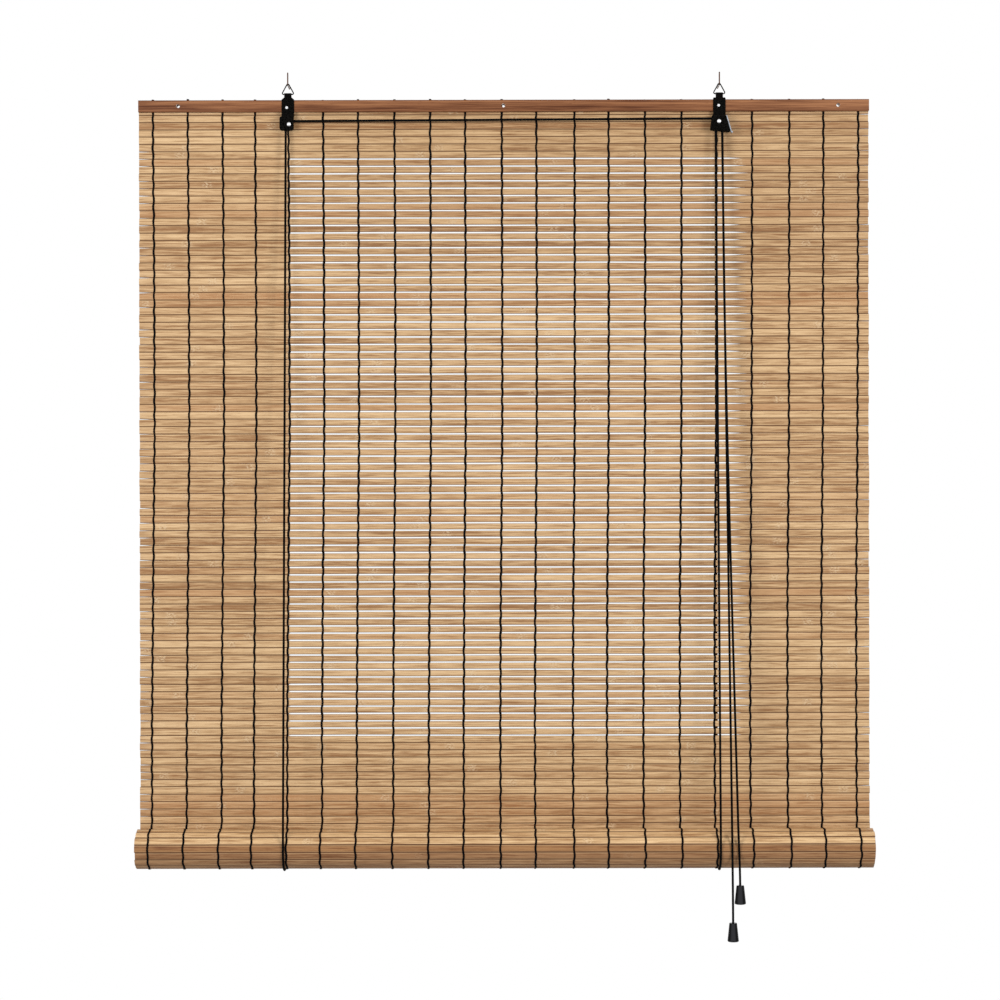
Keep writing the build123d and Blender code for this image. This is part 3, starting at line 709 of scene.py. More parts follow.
@dataclass(frozen=True)
class StainedWood(Finish):
    """A planed batten with straight grain, pores and a darker edge."""

    pale: Colour
    middle: Colour
    deep: Colour
    edge: Colour
    low_edge: float
    high_edge: float
    shine: float = 0.4

    GRAIN_SCALES = (9.0, 860.0)
    GRAIN_SEED = 3.0
    BEND_STRETCH = (7.0, 60.0)
    BEND_DEPTH = 9.0
    RING_SCALE = 420.0
    CLOUD_SCALE = 3.5
    PORE_STRETCH = (130.0, 1500.0)
    PORE_STEP = (0.66, 0.76, 0.0, 0.6)
    FLECK_STRETCH = (420.0, 700.0)
    FLECK_STEP = (0.52, 0.62, 0.0, 0.5)
    PATCH_SCALE = 9.0
    PATCH_STEP = (0.60, 0.70)
    TOP_EDGE = 1.1 * MM
    FOOT_EDGE = 0.9 * MM
    EDGE_SHARE = 0.85
    GRAIN_DEPTH = 0.12 * MM

    def paint(self, graph: Graph, shader: bpy.types.Node) -> None:
        """Feeds grain, pores, darker edges and varnish."""
        x, y, z = graph.parts(object_place(graph))
        lengthwise, crosswise = self.GRAIN_SCALES
        place = graph.point(x, z, y)
        feeds = {"Place": place, "Along": lengthwise, "Across": crosswise, "Seed": self.GRAIN_SEED}
        grain = graph.group(EFFECTS.grain, feeds)
        bend = graph.streaks((x, z, y), self.BEND_STRETCH)
        rings = graph.math("MULTIPLY_ADD", bend, self.BEND_DEPTH, graph.times(z, self.RING_SCALE))
        rings = graph.math("MULTIPLY_ADD", graph.math("SINE", rings), 0.5, 0.5)
        cloud = graph.noise(graph.point(graph.times(x, self.CLOUD_SCALE), 0.0), 1.0, 3.0)
        total = weighed(graph, ((grain.outputs["Streak"], 0.95), (rings, 0.36), (cloud, 1.1)))
        colour = graph.ramp(total, [(0.0, self.deep), (0.5, self.middle), (1.0, self.pale)])
        pores = graph.streaks((x, z, y), self.PORE_STRETCH, 1.0)
        colour = graph.mix(graph.step(pores, *self.PORE_STEP), colour, self.deep)
        flecks = graph.streaks((x, z, 3.0), self.FLECK_STRETCH)
        patches = graph.noise(graph.point(graph.times(x, self.PATCH_SCALE), 5.0), 1.0, 1.0)
        patch = graph.step(patches, *self.PATCH_STEP)
        colour = graph.mix(graph.times(patch, graph.step(flecks, *self.FLECK_STEP)), colour, self.pale)
        top = graph.step(z, self.high_edge - self.TOP_EDGE, self.high_edge)
        foot = graph.step(z, self.low_edge + self.FOOT_EDGE, self.low_edge, 0.0, 0.6)
        colour = graph.mix(graph.times(graph.math("MAXIMUM", top, foot), self.EDGE_SHARE), colour, self.edge)
        graph.feed(shader.inputs["Base Color"], colour)
        rough = graph.step(grain.outputs["Streak"], 0.0, 1.0, self.shine + 0.12, self.shine)
        graph.feed(shader.inputs["Roughness"], rough)
        graph.feed(shader.inputs["Normal"], graph.bump(grain.outputs["Height"], self.GRAIN_DEPTH, 0.7))
        shader.inputs["Specular IOR Level"].default_value = 0.16


@dataclass(frozen=True)
class SpunStrand(Finish):
    """Yarn or cord: strands wound round it, with a little fuzz and a painted highlight on the strands'
    crests.
    """

    colour: Colour
    # painted highlight: the paler colour on the crests of the strands
    painted_crest_highlight: Colour
    strands: float
    lay: float
    braid: float
    depth: float
    swept: bool = True

    def paint(self, graph: Graph, shader: bpy.types.Node) -> None:
        """Feeds the strands, their fuzz and the painted highlight on their crests."""
        place = object_place(graph)
        if self.swept:
            along, around, _ = grain_place(graph)
            lay = {"Strands": self.strands, "Lay": self.lay, "Braid": self.braid}
            feeds = {"Along": along, "Around": around, **lay}
            height = graph.group(EFFECTS.strand, feeds).outputs["Height"]
        else:
            height = graph.noise(place, 1500.0, 2.0, 0.6)
        mottle = graph.group(EFFECTS.mottle, {"Place": place, "Scale": 420.0})
        share = graph.times(height, graph.math("MULTIPLY_ADD", mottle.outputs["Mask"], 0.6, 0.4))
        # painted highlight: the strands' crests are paler
        graph.feed(shader.inputs["Base Color"], graph.mix(share, self.colour, self.painted_crest_highlight))
        graph.feed(shader.inputs["Roughness"], graph.step(mottle.outputs["Mask"], 0.0, 1.0, 0.62, 0.82))
        fuzz = graph.math("MULTIPLY_ADD", mottle.outputs["Height"], 0.5, height)
        graph.feed(shader.inputs["Normal"], graph.bump(fuzz, self.depth, 0.9))
        shader.inputs["Specular IOR Level"].default_value = 0.035


@dataclass(frozen=True)
class Lacquered(Finish):
    """Black lacquer on folded sheet or wire, with dust and rubbed edges."""

    colour: Colour
    film: Colour
    bare: Colour
    roughness: float = 0.3

    CLOUD_SCALE = 260.0
    CLOUD_SHARE = 0.45
    WEAR_SCALE = 900.0
    WEAR_REACH = 0.55
    DULLED = 0.2
    BARE_SHINE = 0.8

    def paint(self, graph: Graph, shader: bpy.types.Node) -> None:
        """Feeds film, wear and ripple."""
        place = object_place(graph)
        mottle = graph.group(EFFECTS.mottle, {"Place": place, "Scale": self.CLOUD_SCALE})
        feeds = {"Place": place, "Scale": self.WEAR_SCALE, "Reach": self.WEAR_REACH}
        wear = graph.group(EFFECTS.wear, feeds).outputs["Mask"]
        cloud = mottle.outputs["Mask"]
        colour = graph.mix(graph.times(cloud, self.CLOUD_SHARE), self.colour, self.film)
        graph.feed(shader.inputs["Base Color"], graph.mix(wear, colour, self.bare))
        rough = graph.step(cloud, 0.0, 1.0, self.roughness, self.roughness + self.DULLED)
        graph.feed(shader.inputs["Roughness"], rough)
        graph.feed(shader.inputs["Metallic"], graph.times(wear, self.BARE_SHINE))
        graph.feed(shader.inputs["Normal"], graph.bump(mottle.outputs["Height"], 0.05 * MM, 0.5))
        shader.inputs["Specular IOR Level"].default_value = 0.012


@dataclass(frozen=True)
class BareMetal(Finish):
    """Wire or rivet metal with a brushed or dulled skin."""

    colour: Colour
    tarnish: Colour
    roughness: float
    dulled: float

    def paint(self, graph: Graph, shader: bpy.types.Node) -> None:
        """Feeds tarnish and scratches."""
        place = object_place(graph)
        mottle = graph.group(EFFECTS.mottle, {"Place": place, "Scale": 600.0})
        wear = graph.group(EFFECTS.wear, {"Place": place, "Scale": 1400.0, "Reach": 0.6}).outputs["Mask"]
        colour = graph.mix(graph.times(mottle.outputs["Mask"], self.dulled), self.colour, self.tarnish)
        graph.feed(shader.inputs["Base Color"], graph.mix(wear, colour, self.colour))
        rough = graph.step(mottle.outputs["Mask"], 0.0, 1.0, self.roughness, self.roughness + 0.22)
        graph.feed(shader.inputs["Roughness"], rough)
        graph.feed(shader.inputs["Normal"], graph.bump(mottle.outputs["Height"], 0.03 * MM, 0.5))
        shader.inputs["Metallic"].default_value = 1.0


@dataclass(frozen=True)
class MouldedPlastic(Finish):
    """Black moulded plastic with a soft gloss."""

    colour: Colour
    film: Colour
    roughness: float
    # paler colour for faces turned to the eye: a painted highlight
    front: Colour | None = None

    def paint(self, graph: Graph, shader: bpy.types.Node) -> None:
        """Feeds a faint cloud, rubbed edges and an uneven gloss, with a painted highlight on the faces
        turned to the eye where there is one.
        """
        place = object_place(graph)
        mottle = graph.group(EFFECTS.mottle, {"Place": place, "Scale": 180.0})
        wear = graph.group(EFFECTS.wear, {"Place": place, "Scale": 700.0, "Reach": 0.4}).outputs["Mask"]
        share = graph.math("MAXIMUM", graph.times(mottle.outputs["Mask"], 0.3), wear)
        colour = graph.mix(share, self.colour, self.film)
        if self.front is not None:
            # painted highlight: faces turned to the eye are paler, edges stay black
            facing = graph.node("ShaderNodeLayerWeight", {"Blend": 0.5}).outputs["Facing"]
            colour = graph.mix(graph.step(facing, 0.0, 0.24, 0.9, 0.0), colour, self.front)
        graph.feed(shader.inputs["Base Color"], colour)
        rough = graph.step(mottle.outputs["Mask"], 0.0, 1.0, self.roughness, self.roughness + 0.12)
        graph.feed(shader.inputs["Roughness"], rough)
        graph.feed(shader.inputs["Normal"], graph.bump(mottle.outputs["Height"], 0.04 * MM, 0.4))
        shader.inputs["Specular IOR Level"].default_value = 0.07


BAMBOO = SplitBamboo(
    "split_bamboo",
    "bamboo_slats",
    pale=linear(231, 195, 148),
    middle=linear(204, 166, 121),
    deep=linear(152, 108, 68),
    ruddy=linear(180, 124, 78),
    # painted highlight on the slats' edges
    painted_rim_highlight=linear(222, 188, 142),
    # dark joint colour, also the painted shade on each slat's lower edge
    joint=linear(100, 60, 32),
)
BAMBOO_END = CutBamboo("cut_bamboo", "bamboo_slats", linear(176, 130, 84), linear(112, 72, 42))
BLACK_YARN = SpunStrand(
    "black_yarn",
    "black_yarn",
    colour=linear(2, 2, 3),
    painted_crest_highlight=linear(19, 18, 21),
    strands=2.0,
    lay=2.6 * MM,
    braid=0.0,
    depth=0.22 * MM,
)
BLACK_CORD = SpunStrand(
    "black_cord",
    "black_cord",
    colour=linear(2, 2, 3),
    painted_crest_highlight=linear(12, 12, 14),
    strands=4.0,
    lay=5.2 * MM,
    braid=1.0,
    depth=0.14 * MM,
)
BLACK_KNOT = SpunStrand(
    "black_knot",
    "black_cord",
    colour=linear(4, 4, 5),
    painted_crest_highlight=linear(17, 17, 19),
    strands=4.0,
    lay=5.2 * MM,
    braid=1.0,
    depth=0.25 * MM,
    swept=False,
)
BLACK_SHEET = Lacquered(
    "black_sheet", "black_sheet", colour=linear(1, 1, 1), film=linear(5, 5, 5), bare=linear(36, 34, 32)
)
BLACK_WIRE = Lacquered(
    "black_wire",
    "black_wire",
    colour=linear(1, 1, 1),
    film=linear(6, 6, 6),
    bare=linear(36, 34, 32),
    roughness=0.34,
)
HOOK_WIRE = BareMetal(
    "hook_wire",
    "hook_wire",
    colour=linear(84, 58, 44),
    tarnish=linear(42, 27, 20),
    roughness=0.40,
    dulled=0.7,
)
BRIGHT_STEEL = BareMetal(
    "bright_steel",
    "bright_steel",
    colour=linear(232, 232, 234),
    tarnish=linear(190, 190, 192),
    roughness=0.24,
    dulled=0.4,
)
LEVER_STEEL = BareMetal(
    "lever_steel",
    "lever_steel",
    colour=linear(168, 176, 186),
    tarnish=linear(84, 88, 94),
    roughness=0.34,
    dulled=0.8,
)
PULLEY_PLASTIC = MouldedPlastic(
    "pulley_plastic", "pulley_plastic", colour=linear(16, 16, 17), film=linear(38, 38, 38), roughness=0.48
)
TASSEL_PLASTIC = MouldedPlastic(
    "tassel_plastic",
    "tassel_plastic",
    colour=linear(2, 2, 2),
    film=linear(9, 9, 10),
    roughness=0.22,
    # painted highlight on the tassels' faces turned to the eye
    front=linear(52, 52, 55),
)


@dataclass
class StripMesh:
    """Gathers swept strips into one mesh with a lengthwise map and a number for each strip."""

    points: list[np.ndarray] = field(default_factory=list)
    quads: list[np.ndarray] = field(default_factory=list)
    quad_maps: list[np.ndarray] = field(default_factory=list)
    caps: list[np.ndarray] = field(default_factory=list)
    cap_maps: list[np.ndarray] = field(default_factory=list)
    numbers: list[np.ndarray] = field(default_factory=list)
    tints: list[np.ndarray] = field(default_factory=list)
    count: int = 0

    def sweep(
        self,
        rings: np.ndarray,
        along: np.ndarray,
        across: np.ndarray,
        number: float = 0.0,
        tint: np.ndarray | Triple = (1.0, 1.0, 1.0),
    ) -> None:
        """Adds a closed strip through rings of points, with a cap at each end.

        Args:
            rings: Points of each ring, as stations by sides by three.
            along: Lengthwise map value of each station.
            across: Crosswise map values of a ring, with one more to close it, or one such row a station.
            number: The strip's number.
            tint: Tint of the strip, or one for each station.
        """
        stations, sides, _ = rings.shape
        index = self.count + np.arange(stations * sides).reshape(stations, sides)
        following = np.roll(index, -1, axis=1)
        quads = np.stack([index[:-1], following[:-1], following[1:], index[1:]], axis=-1).reshape(-1, 4)
        shape = (stations, sides + 1)
        grid = np.stack([np.broadcast_to(along[:, None], shape), np.broadcast_to(across, shape)], axis=-1)
        maps = np.stack([grid[:-1, :-1], grid[:-1, 1:], grid[1:, 1:], grid[1:, :-1]], axis=2)
        maps = maps.reshape(-1, 4, 2)
        ends = [index[0], index[-1][::-1]]
        end_maps = [grid[0, :-1], grid[-1, :-1][::-1]]
        flat = rings.reshape(-1, 3)
        if self.inside_out(flat - flat.mean(axis=0), quads - self.count):
            quads, maps = quads[:, ::-1], maps[:, ::-1]
            ends = [end[::-1] for end in ends]
            end_maps = [end[::-1] for end in end_maps]
        self.points.append(flat)
        self.quads.append(quads)
        self.quad_maps.append(maps.reshape(-1, 2))
        self.caps.extend(end[::-1] for end in ends)
        self.cap_maps.extend(end[::-1] for end in end_maps)
        self.numbers.append(np.full(len(flat), number))
        tints = np.asarray(tint, dtype=float).reshape(-1, 1, 3)
        self.tints.append(np.broadcast_to(tints, rings.shape).reshape(-1, 3))
        self.count += len(flat)

    @staticmethod
    def inside_out(points: np.ndarray, quads: np.ndarray) -> bool:
        """Tells whether a strip's faces look inwards.

        Args:
            points: Points about the strip's middle.
            quads: The side faces.

        Returns:
            True where the faces must be turned round.
        """
        a, b, c, d = (points[quads[:, corner]] for corner in range(4))
        return float((a * np.cross(b, c)).sum() + (a * np.cross(c, d)).sum()) < 0

    def build(self, name: str, side: Finish, end: Finish, smooth_angle: float = 50.0) -> bpy.types.Object:
        """Makes the piece.

        Args:
            name: The piece's name.
            side: Finish of the strips' sides.
            end: Finish of the strips' cut ends.
            smooth_angle: Edges sharper than this, in degrees, stay crisp.

        Returns:
            The object, linked to the scene.
        """
        mesh = bpy.data.meshes.new(name)
        points = np.concatenate(self.points)
        quads = np.concatenate(self.quads)
        sizes = np.concatenate([np.full(len(quads), 4), [len(cap) for cap in self.caps]]).astype(int)
        corners = np.concatenate([quads.reshape(-1)] + self.caps).astype(int)
        mesh.vertices.add(len(points))
        mesh.vertices.foreach_set("co", points.astype(np.float32).reshape(-1))
        mesh.loops.add(len(corners))
        mesh.loops.foreach_set("vertex_index", corners)
        mesh.polygons.add(len(sizes))
        mesh.polygons.foreach_set("loop_start", np.concatenate([[0], np.cumsum(sizes)[:-1]]).astype(int))
        finishes = np.concatenate([np.zeros(len(quads)), np.ones(len(self.caps))]).astype(int)
        mesh.polygons.foreach_set("material_index", finishes)
        mesh.update(calc_edges=True)
        maps = np.concatenate(self.quad_maps + self.cap_maps)
        mesh.uv_layers.new(name=GRAIN_MAP).data.foreach_set("uv", maps.astype(np.float32).reshape(-1))
        strip = mesh.attributes.new(STRIP_NUMBER, "FLOAT", "POINT")
        strip.data.foreach_set("value", np.concatenate(self.numbers).astype(np.float32))
        tint = mesh.attributes.new(STRIP_TINT, "FLOAT_VECTOR", "POINT")
        tint.data.foreach_set("vector", np.concatenate(self.tints).astype(np.float32).reshape(-1))
        mesh.shade_smooth()
        mesh.set_sharp_from_angle(angle=math.radians(smooth_angle))
        mesh.materials.append(side.material())
        mesh.materials.append(end.material())
        mesh.validate()
        piece = bpy.data.objects.new(name, mesh)
        bpy.context.scene.collection.objects.link(piece)
        return piece


def tube_rings(
    path: np.ndarray, half_width: np.ndarray, half_depth: np.ndarray, sides: int, flat_axis: Triple
) -> np.ndarray:
    """Sets oval rings square to a path.

    Args:
        path: Ring centres.
        half_width: Half size of each ring along flat_axis.
        half_depth: Half size of each ring across it.
        sides: Points of a ring.
        flat_axis: The direction that the rings' width keeps to.

    Returns:
        The rings' points.
    """
    heading = np.gradient(path, axis=0)
    heading /= np.linalg.norm(heading, axis=1, keepdims=True)
    wide = np.array(flat_axis) - heading * (heading @ np.array(flat_axis))[:, None]
    wide /= np.linalg.norm(wide, axis=1, keepdims=True)
    deep = np.cross(heading, wide)
    angle = np.arange(sides) * math.tau / sides
    across = half_width[:, None, None] * np.cos(angle)[None, :, None] * wide[:, None, :]
    through = half_depth[:, None, None] * np.sin(angle)[None, :, None] * deep[:, None, :]
    return path[:, None, :] + across + through


def run_length(path: np.ndarray) -> np.ndarray:
    """Returns the length of the path up to each of its points."""
    return np.concatenate([[0.0], np.cumsum(np.linalg.norm(np.diff(path, axis=0), axis=1))])


def even_path(path: np.ndarray, spacing: float) -> np.ndarray:
    """Sets points at even steps along a path.

    Args:
        path: The path's points.
        spacing: Step between the new points.

    Returns:
        The new points.
    """
    travelled = run_length(path)
    steps = max(2, int(round(travelled[-1] / spacing)))
    wanted = np.linspace(0.0, travelled[-1], steps + 1)
    return np.stack([np.interp(wanted, travelled, path[:, axis]) for axis in range(3)], axis=1)


def route_path(name: str, route: list[Triple]) -> np.ndarray:
    """Reads the smooth line of a cord's route.

    Args:
        name: Name of the passing curve.
        route: Control points of the route, in metres.

    Returns:
        Points along the NURBS line.
    """
    curve = bpy.data.curves.new(name, "CURVE")
    curve.dimensions = "3D"
    curve.resolution_u = 48
    spline = curve.splines.new("NURBS")
    spline.points.add(len(route) - 1)
    for place, (x, y, z) in zip(spline.points, route):
        place.co = (x, y, z, 1.0)
    spline.order_u = 3
    spline.use_endpoint_u = True
    carrier = bpy.data.objects.new(name, curve)
    bpy.context.scene.collection.objects.link(carrier)
    bpy.context.view_layer.update()
    line = bpy.data.meshes.new_from_object(carrier)
    path = np.array([tuple(vertex.co) for vertex in line.vertices])
    bpy.data.objects.remove(carrier)
    bpy.data.curves.remove(curve)
    bpy.data.meshes.remove(line)
    return path


@dataclass
class SlatMat:
    """The flat part of the mat: split slats laid edge to edge, see-through in its middle panel."""

    slats: int = 101
    first_open: int = 8
    last_open: int = 86
    open_left: float = -263.5 * MM
    open_right: float = 276.5 * MM
    fade_left: float = 4.0 * MM
    fade_right: float = 24.0 * MM
    open_gap: float = 1.55 * MM
    tight_gap: float = 0.015 * MM
    end_reach: float = 17.0 * MM
    end_gap: float = 1.0 * MM
    corner: float = 0.42 * MM
    back_corner: float = 0.25 * MM
    crown: float = 0.22 * MM
    stations: int = 58

    RAIL_HOLES = (-401.0 * MM, -0.4 * MM, 412.0 * MM)
    HOLE_HALF = 2.6 * MM
    WAVE_SIZES = (0.13, 0.07, 0.045)
    WAVE_SPREAD = (0.4, 1.3)
    WAVE_COUNTS = (1.3, 3.1, 7.7)
    TIGHT_SPREAD = (1.5, 0.6)
    OPEN_SPREAD = (0.10, 0.06)
    FADE_SPREAD = 0.4
    END_SPREAD = 1.6
    END_LUCK = 0.35
    RIGHT_END_LUCK = 0.25
    LEFT_STATIONS = (-4.0, -2.6, -1.3, 0.0, 8.0)
    RIGHT_STATIONS = (-8.0, 0.0, 8.0, 16.0, 24.0, 33.0)
    END_STATIONS = (3.0, 8.0, 13.0)
    TRIM = (-0.7, 0.25)
    LEAN = 0.05 * MM
    TOP_TINT = (0.86, 0.83, 0.80)
    TOP_TINT_SLATS = (14.0, 30.0)
    TOP_TINT_FROM = (-330.0 * MM, -120.0 * MM)
    SETTLE_AT = (0, 6, 14, 29, 44, 62, 79, 91, 101)
    SETTLE = (0.0, 1.0 * MM, 1.0 * MM, 0.0, -1.5 * MM, -2.4 * MM, -1.0 * MM, 0.0, 0.0)

    def __post_init__(self) -> None:
        """Takes the mat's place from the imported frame."""
        low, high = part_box("slat_mat")
        self.half_width = high.x
        self.top = high.z
        self.pitch = (high.z - low.z) / self.slats
        self.thickness = high.y - low.y
        self.middle_y = (high.y + low.y) / 2
        self.chance = np.random.default_rng(4117)
        self.wobble = self.joint_wobble()
        self.gap_chance = self.chance.uniform(-1.0, 1.0, (self.slats + 1, 3))
        self.end_chance = self.chance.uniform(0.0, 1.0, (self.slats + 1, 2))

    def joint_wobble(self) -> np.ndarray:
        """Returns the size and phase of the three waves in each joint's line."""
        waves = np.array(self.WAVE_SIZES) * MM
        sizes = waves * self.chance.uniform(*self.WAVE_SPREAD, (self.slats + 1, 3))
        phases = self.chance.uniform(0.0, math.tau, (self.slats + 1, 3))
        return np.stack([sizes, phases], axis=-1)

    def height_at(self, place: np.ndarray | float) -> np.ndarray:
        """Height on the mat at places counted in slats from the top, as the slats have settled.

        Args:
            place: Places, where whole numbers are joints.

        Returns:
            The heights.
        """
        return self.top - np.asarray(place) * self.pitch + np.interp(place, self.SETTLE_AT, self.SETTLE)

    def joint_line(self, joint: int, x: np.ndarray) -> np.ndarray:
        """Height of the line between two slats.

        Args:
            joint: Number of the joint, from 0 at the mat's top edge.
            x: Places along the slats.

        Returns:
            The heights.
        """
        line = np.full_like(x, self.height_at(joint))
        if joint in (0, self.slats):
            return line
        for (size, phase), waves in zip(self.wobble[joint], self.WAVE_COUNTS):
            line = line + size * np.sin(waves * math.tau * x / (2 * self.half_width) + phase)
        return line

    def gap(self, joint: int, x: np.ndarray) -> np.ndarray:
        """Width of the gap between two slats.

        Args:
            joint: Number of the joint.
            x: Places along the slats.

        Returns:
            The widths.
        """
        first, second, third = self.gap_chance[joint]
        least, spread = self.TIGHT_SPREAD
        width = np.full_like(x, self.tight_gap * (least + spread * first))
        if joint in (0, self.slats):
            return width
        for side in range(2):
            place = x if side else -x
            luck = self.end_chance[joint, side]
            over = max(0.0, luck - self.END_LUCK - self.RIGHT_END_LUCK * side)
            opening = self.end_gap * over * self.END_SPREAD
            width = width + opening * smooth_step(place, self.half_width - self.end_reach, self.half_width)
        if self.first_open <= joint <= self.last_open:
            inside = smooth_step(x, self.open_left - self.fade_left, self.open_left)
            fade = self.fade_right * (1 + self.FADE_SPREAD * third)
            inside = inside * (1 - smooth_step(x, self.open_right, self.open_right + fade))
            from_slat, along_slat = self.OPEN_SPREAD
            ripple = 1 + from_slat * second + along_slat * np.sin(14 * x + 9 * third)
            width = width + self.open_gap * inside * ripple
        return width

    def places(self) -> np.ndarray:
        """Returns where the slats' sections stand, closer together at the open panel's edges."""
        even = np.linspace(-1.0, 1.0, self.stations) * self.half_width
        left = self.open_left + np.array(self.LEFT_STATIONS) * MM
        right = self.open_right + np.array(self.RIGHT_STATIONS) * MM
        ends = np.array(self.END_STATIONS) * MM
        holes = [hole + side * self.HOLE_HALF for hole in self.RAIL_HOLES for side in (-1, 1)]
        clear = [x for x in even if min(abs(x - hole) for hole in self.RAIL_HOLES) > 1.5 * self.HOLE_HALF]
        both_ends = np.concatenate([ends - self.half_width, self.half_width - ends])
        return np.unique(np.concatenate([clear, left, right, holes, both_ends]))

    def section(self, height: np.ndarray) -> tuple[np.ndarray, np.ndarray]:
        """Outline of a slat: a crowned front with round corners and a flatter back.

        Args:
            height: Height of the slat at each station.

        Returns:
            Depths and heights of the outline's points about the slat's middle.
        """
        half_t = self.thickness / 2
        near = -half_t + self.crown
        bevel = 0.29 * self.corner
        half = height[:, None] / 2
        depth = [-half_t, near, near + bevel, near + self.corner, half_t - self.back_corner, half_t]
        inset = [None, self.corner, bevel, 0.0, 0.0, self.back_corner]
        upper_y = np.array(depth[1:])
        upper_z = half - np.array(inset[1:], dtype=float)[None, :]
        y = np.concatenate([[depth[0]], upper_y, upper_y[::-1]])
        z = np.concatenate([np.zeros_like(half), upper_z, -upper_z[:, ::-1]], axis=1)
        return np.broadcast_to(y, z.shape), z

    @staticmethod
    def crosswise(z: np.ndarray) -> np.ndarray:
        """Map values across a slat, from edge to edge at every station.

        Args:
            z: Heights of each station's outline about the slat's middle.

        Returns:
            The values, with the first one again to close the outline.
        """
        closed = np.concatenate([z, z[:, :1]], axis=1)
        return closed / np.abs(z).max(axis=1, keepdims=True) * SLAT_HALF

    def tint(self, number: int, x: np.ndarray) -> np.ndarray:
        """Tint of a slat: the upper ones are browner towards the middle and the right.

        Args:
            number: The slat's number from the top.
            x: Places of the slat's stations.

        Returns:
            One tint for each station.
        """
        low, high = self.TOP_TINT_SLATS
        share = (1 - smooth_step(np.array(float(number)), low, high)) * smooth_step(x, *self.TOP_TINT_FROM)
        return 1 - share[:, None] * (1 - np.array(self.TOP_TINT)[None, :])

    def slat_rings(self, number: int) -> tuple[np.ndarray, np.ndarray, np.ndarray]:
        """Shapes one slat.

        Args:
            number: The slat's number from the top.

        Returns:
            Its rings, their places along the slat and their crosswise map values.
        """
        x = self.places()
        trim = self.chance.uniform(*self.TRIM, 2) * MM
        x[0] -= trim[0]
        x[-1] += trim[1]
        top = self.joint_line(number, x) - self.gap(number, x) / 2
        bottom = self.joint_line(number + 1, x) + self.gap(number + 1, x) / 2
        y, z = self.section(top - bottom)
        lean = self.chance.uniform(-self.LEAN, self.LEAN)
        centre = (top + bottom)[:, None] / 2
        places = [np.broadcast_to(x[:, None], z.shape), self.middle_y + lean + y, centre + z]
        return np.stack(places, axis=-1), x, self.crosswise(z)

    def unbroken(self, number: int, along: np.ndarray) -> list[np.ndarray]:
        """Splits a slat where the headrail's screw holes go through it.

        Args:
            number: The slat's number from the top.
            along: Places of the slat's stations.

        Returns:
            The stations of each length that is left.
        """
        if number != 0:
            return [np.arange(len(along))]
        marks = [-math.inf, *self.RAIL_HOLES, math.inf]
        return [np.flatnonzero((along > left) & (along < right)) for left, right in zip(marks, marks[1:])]

    def build(self) -> list[bpy.types.Object]:
        """Makes the slats in three pieces: those by the headrail, and two below them."""
        middle = (self.first_open + self.slats) // 2
        spans = {
            "slats_head": range(0, self.first_open),
            "slats_upper": range(self.first_open, middle),
            "slats_lower": range(middle, self.slats),
        }
        made = []
        for name, numbers in spans.items():
            mesh = StripMesh()
            for number in numbers:
                rings, along, across = self.slat_rings(number)
                tint = self.tint(number, along)
                for kept in self.unbroken(number, along):
                    mesh.sweep(rings[kept], along[kept], across[kept], float(number + 1), tint[kept])
            piece = mesh.build(name, BAMBOO, BAMBOO_END)
            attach(piece, Body.BLIND.value)
            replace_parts(piece, "slat_mat")
            made.append(piece)
        return made


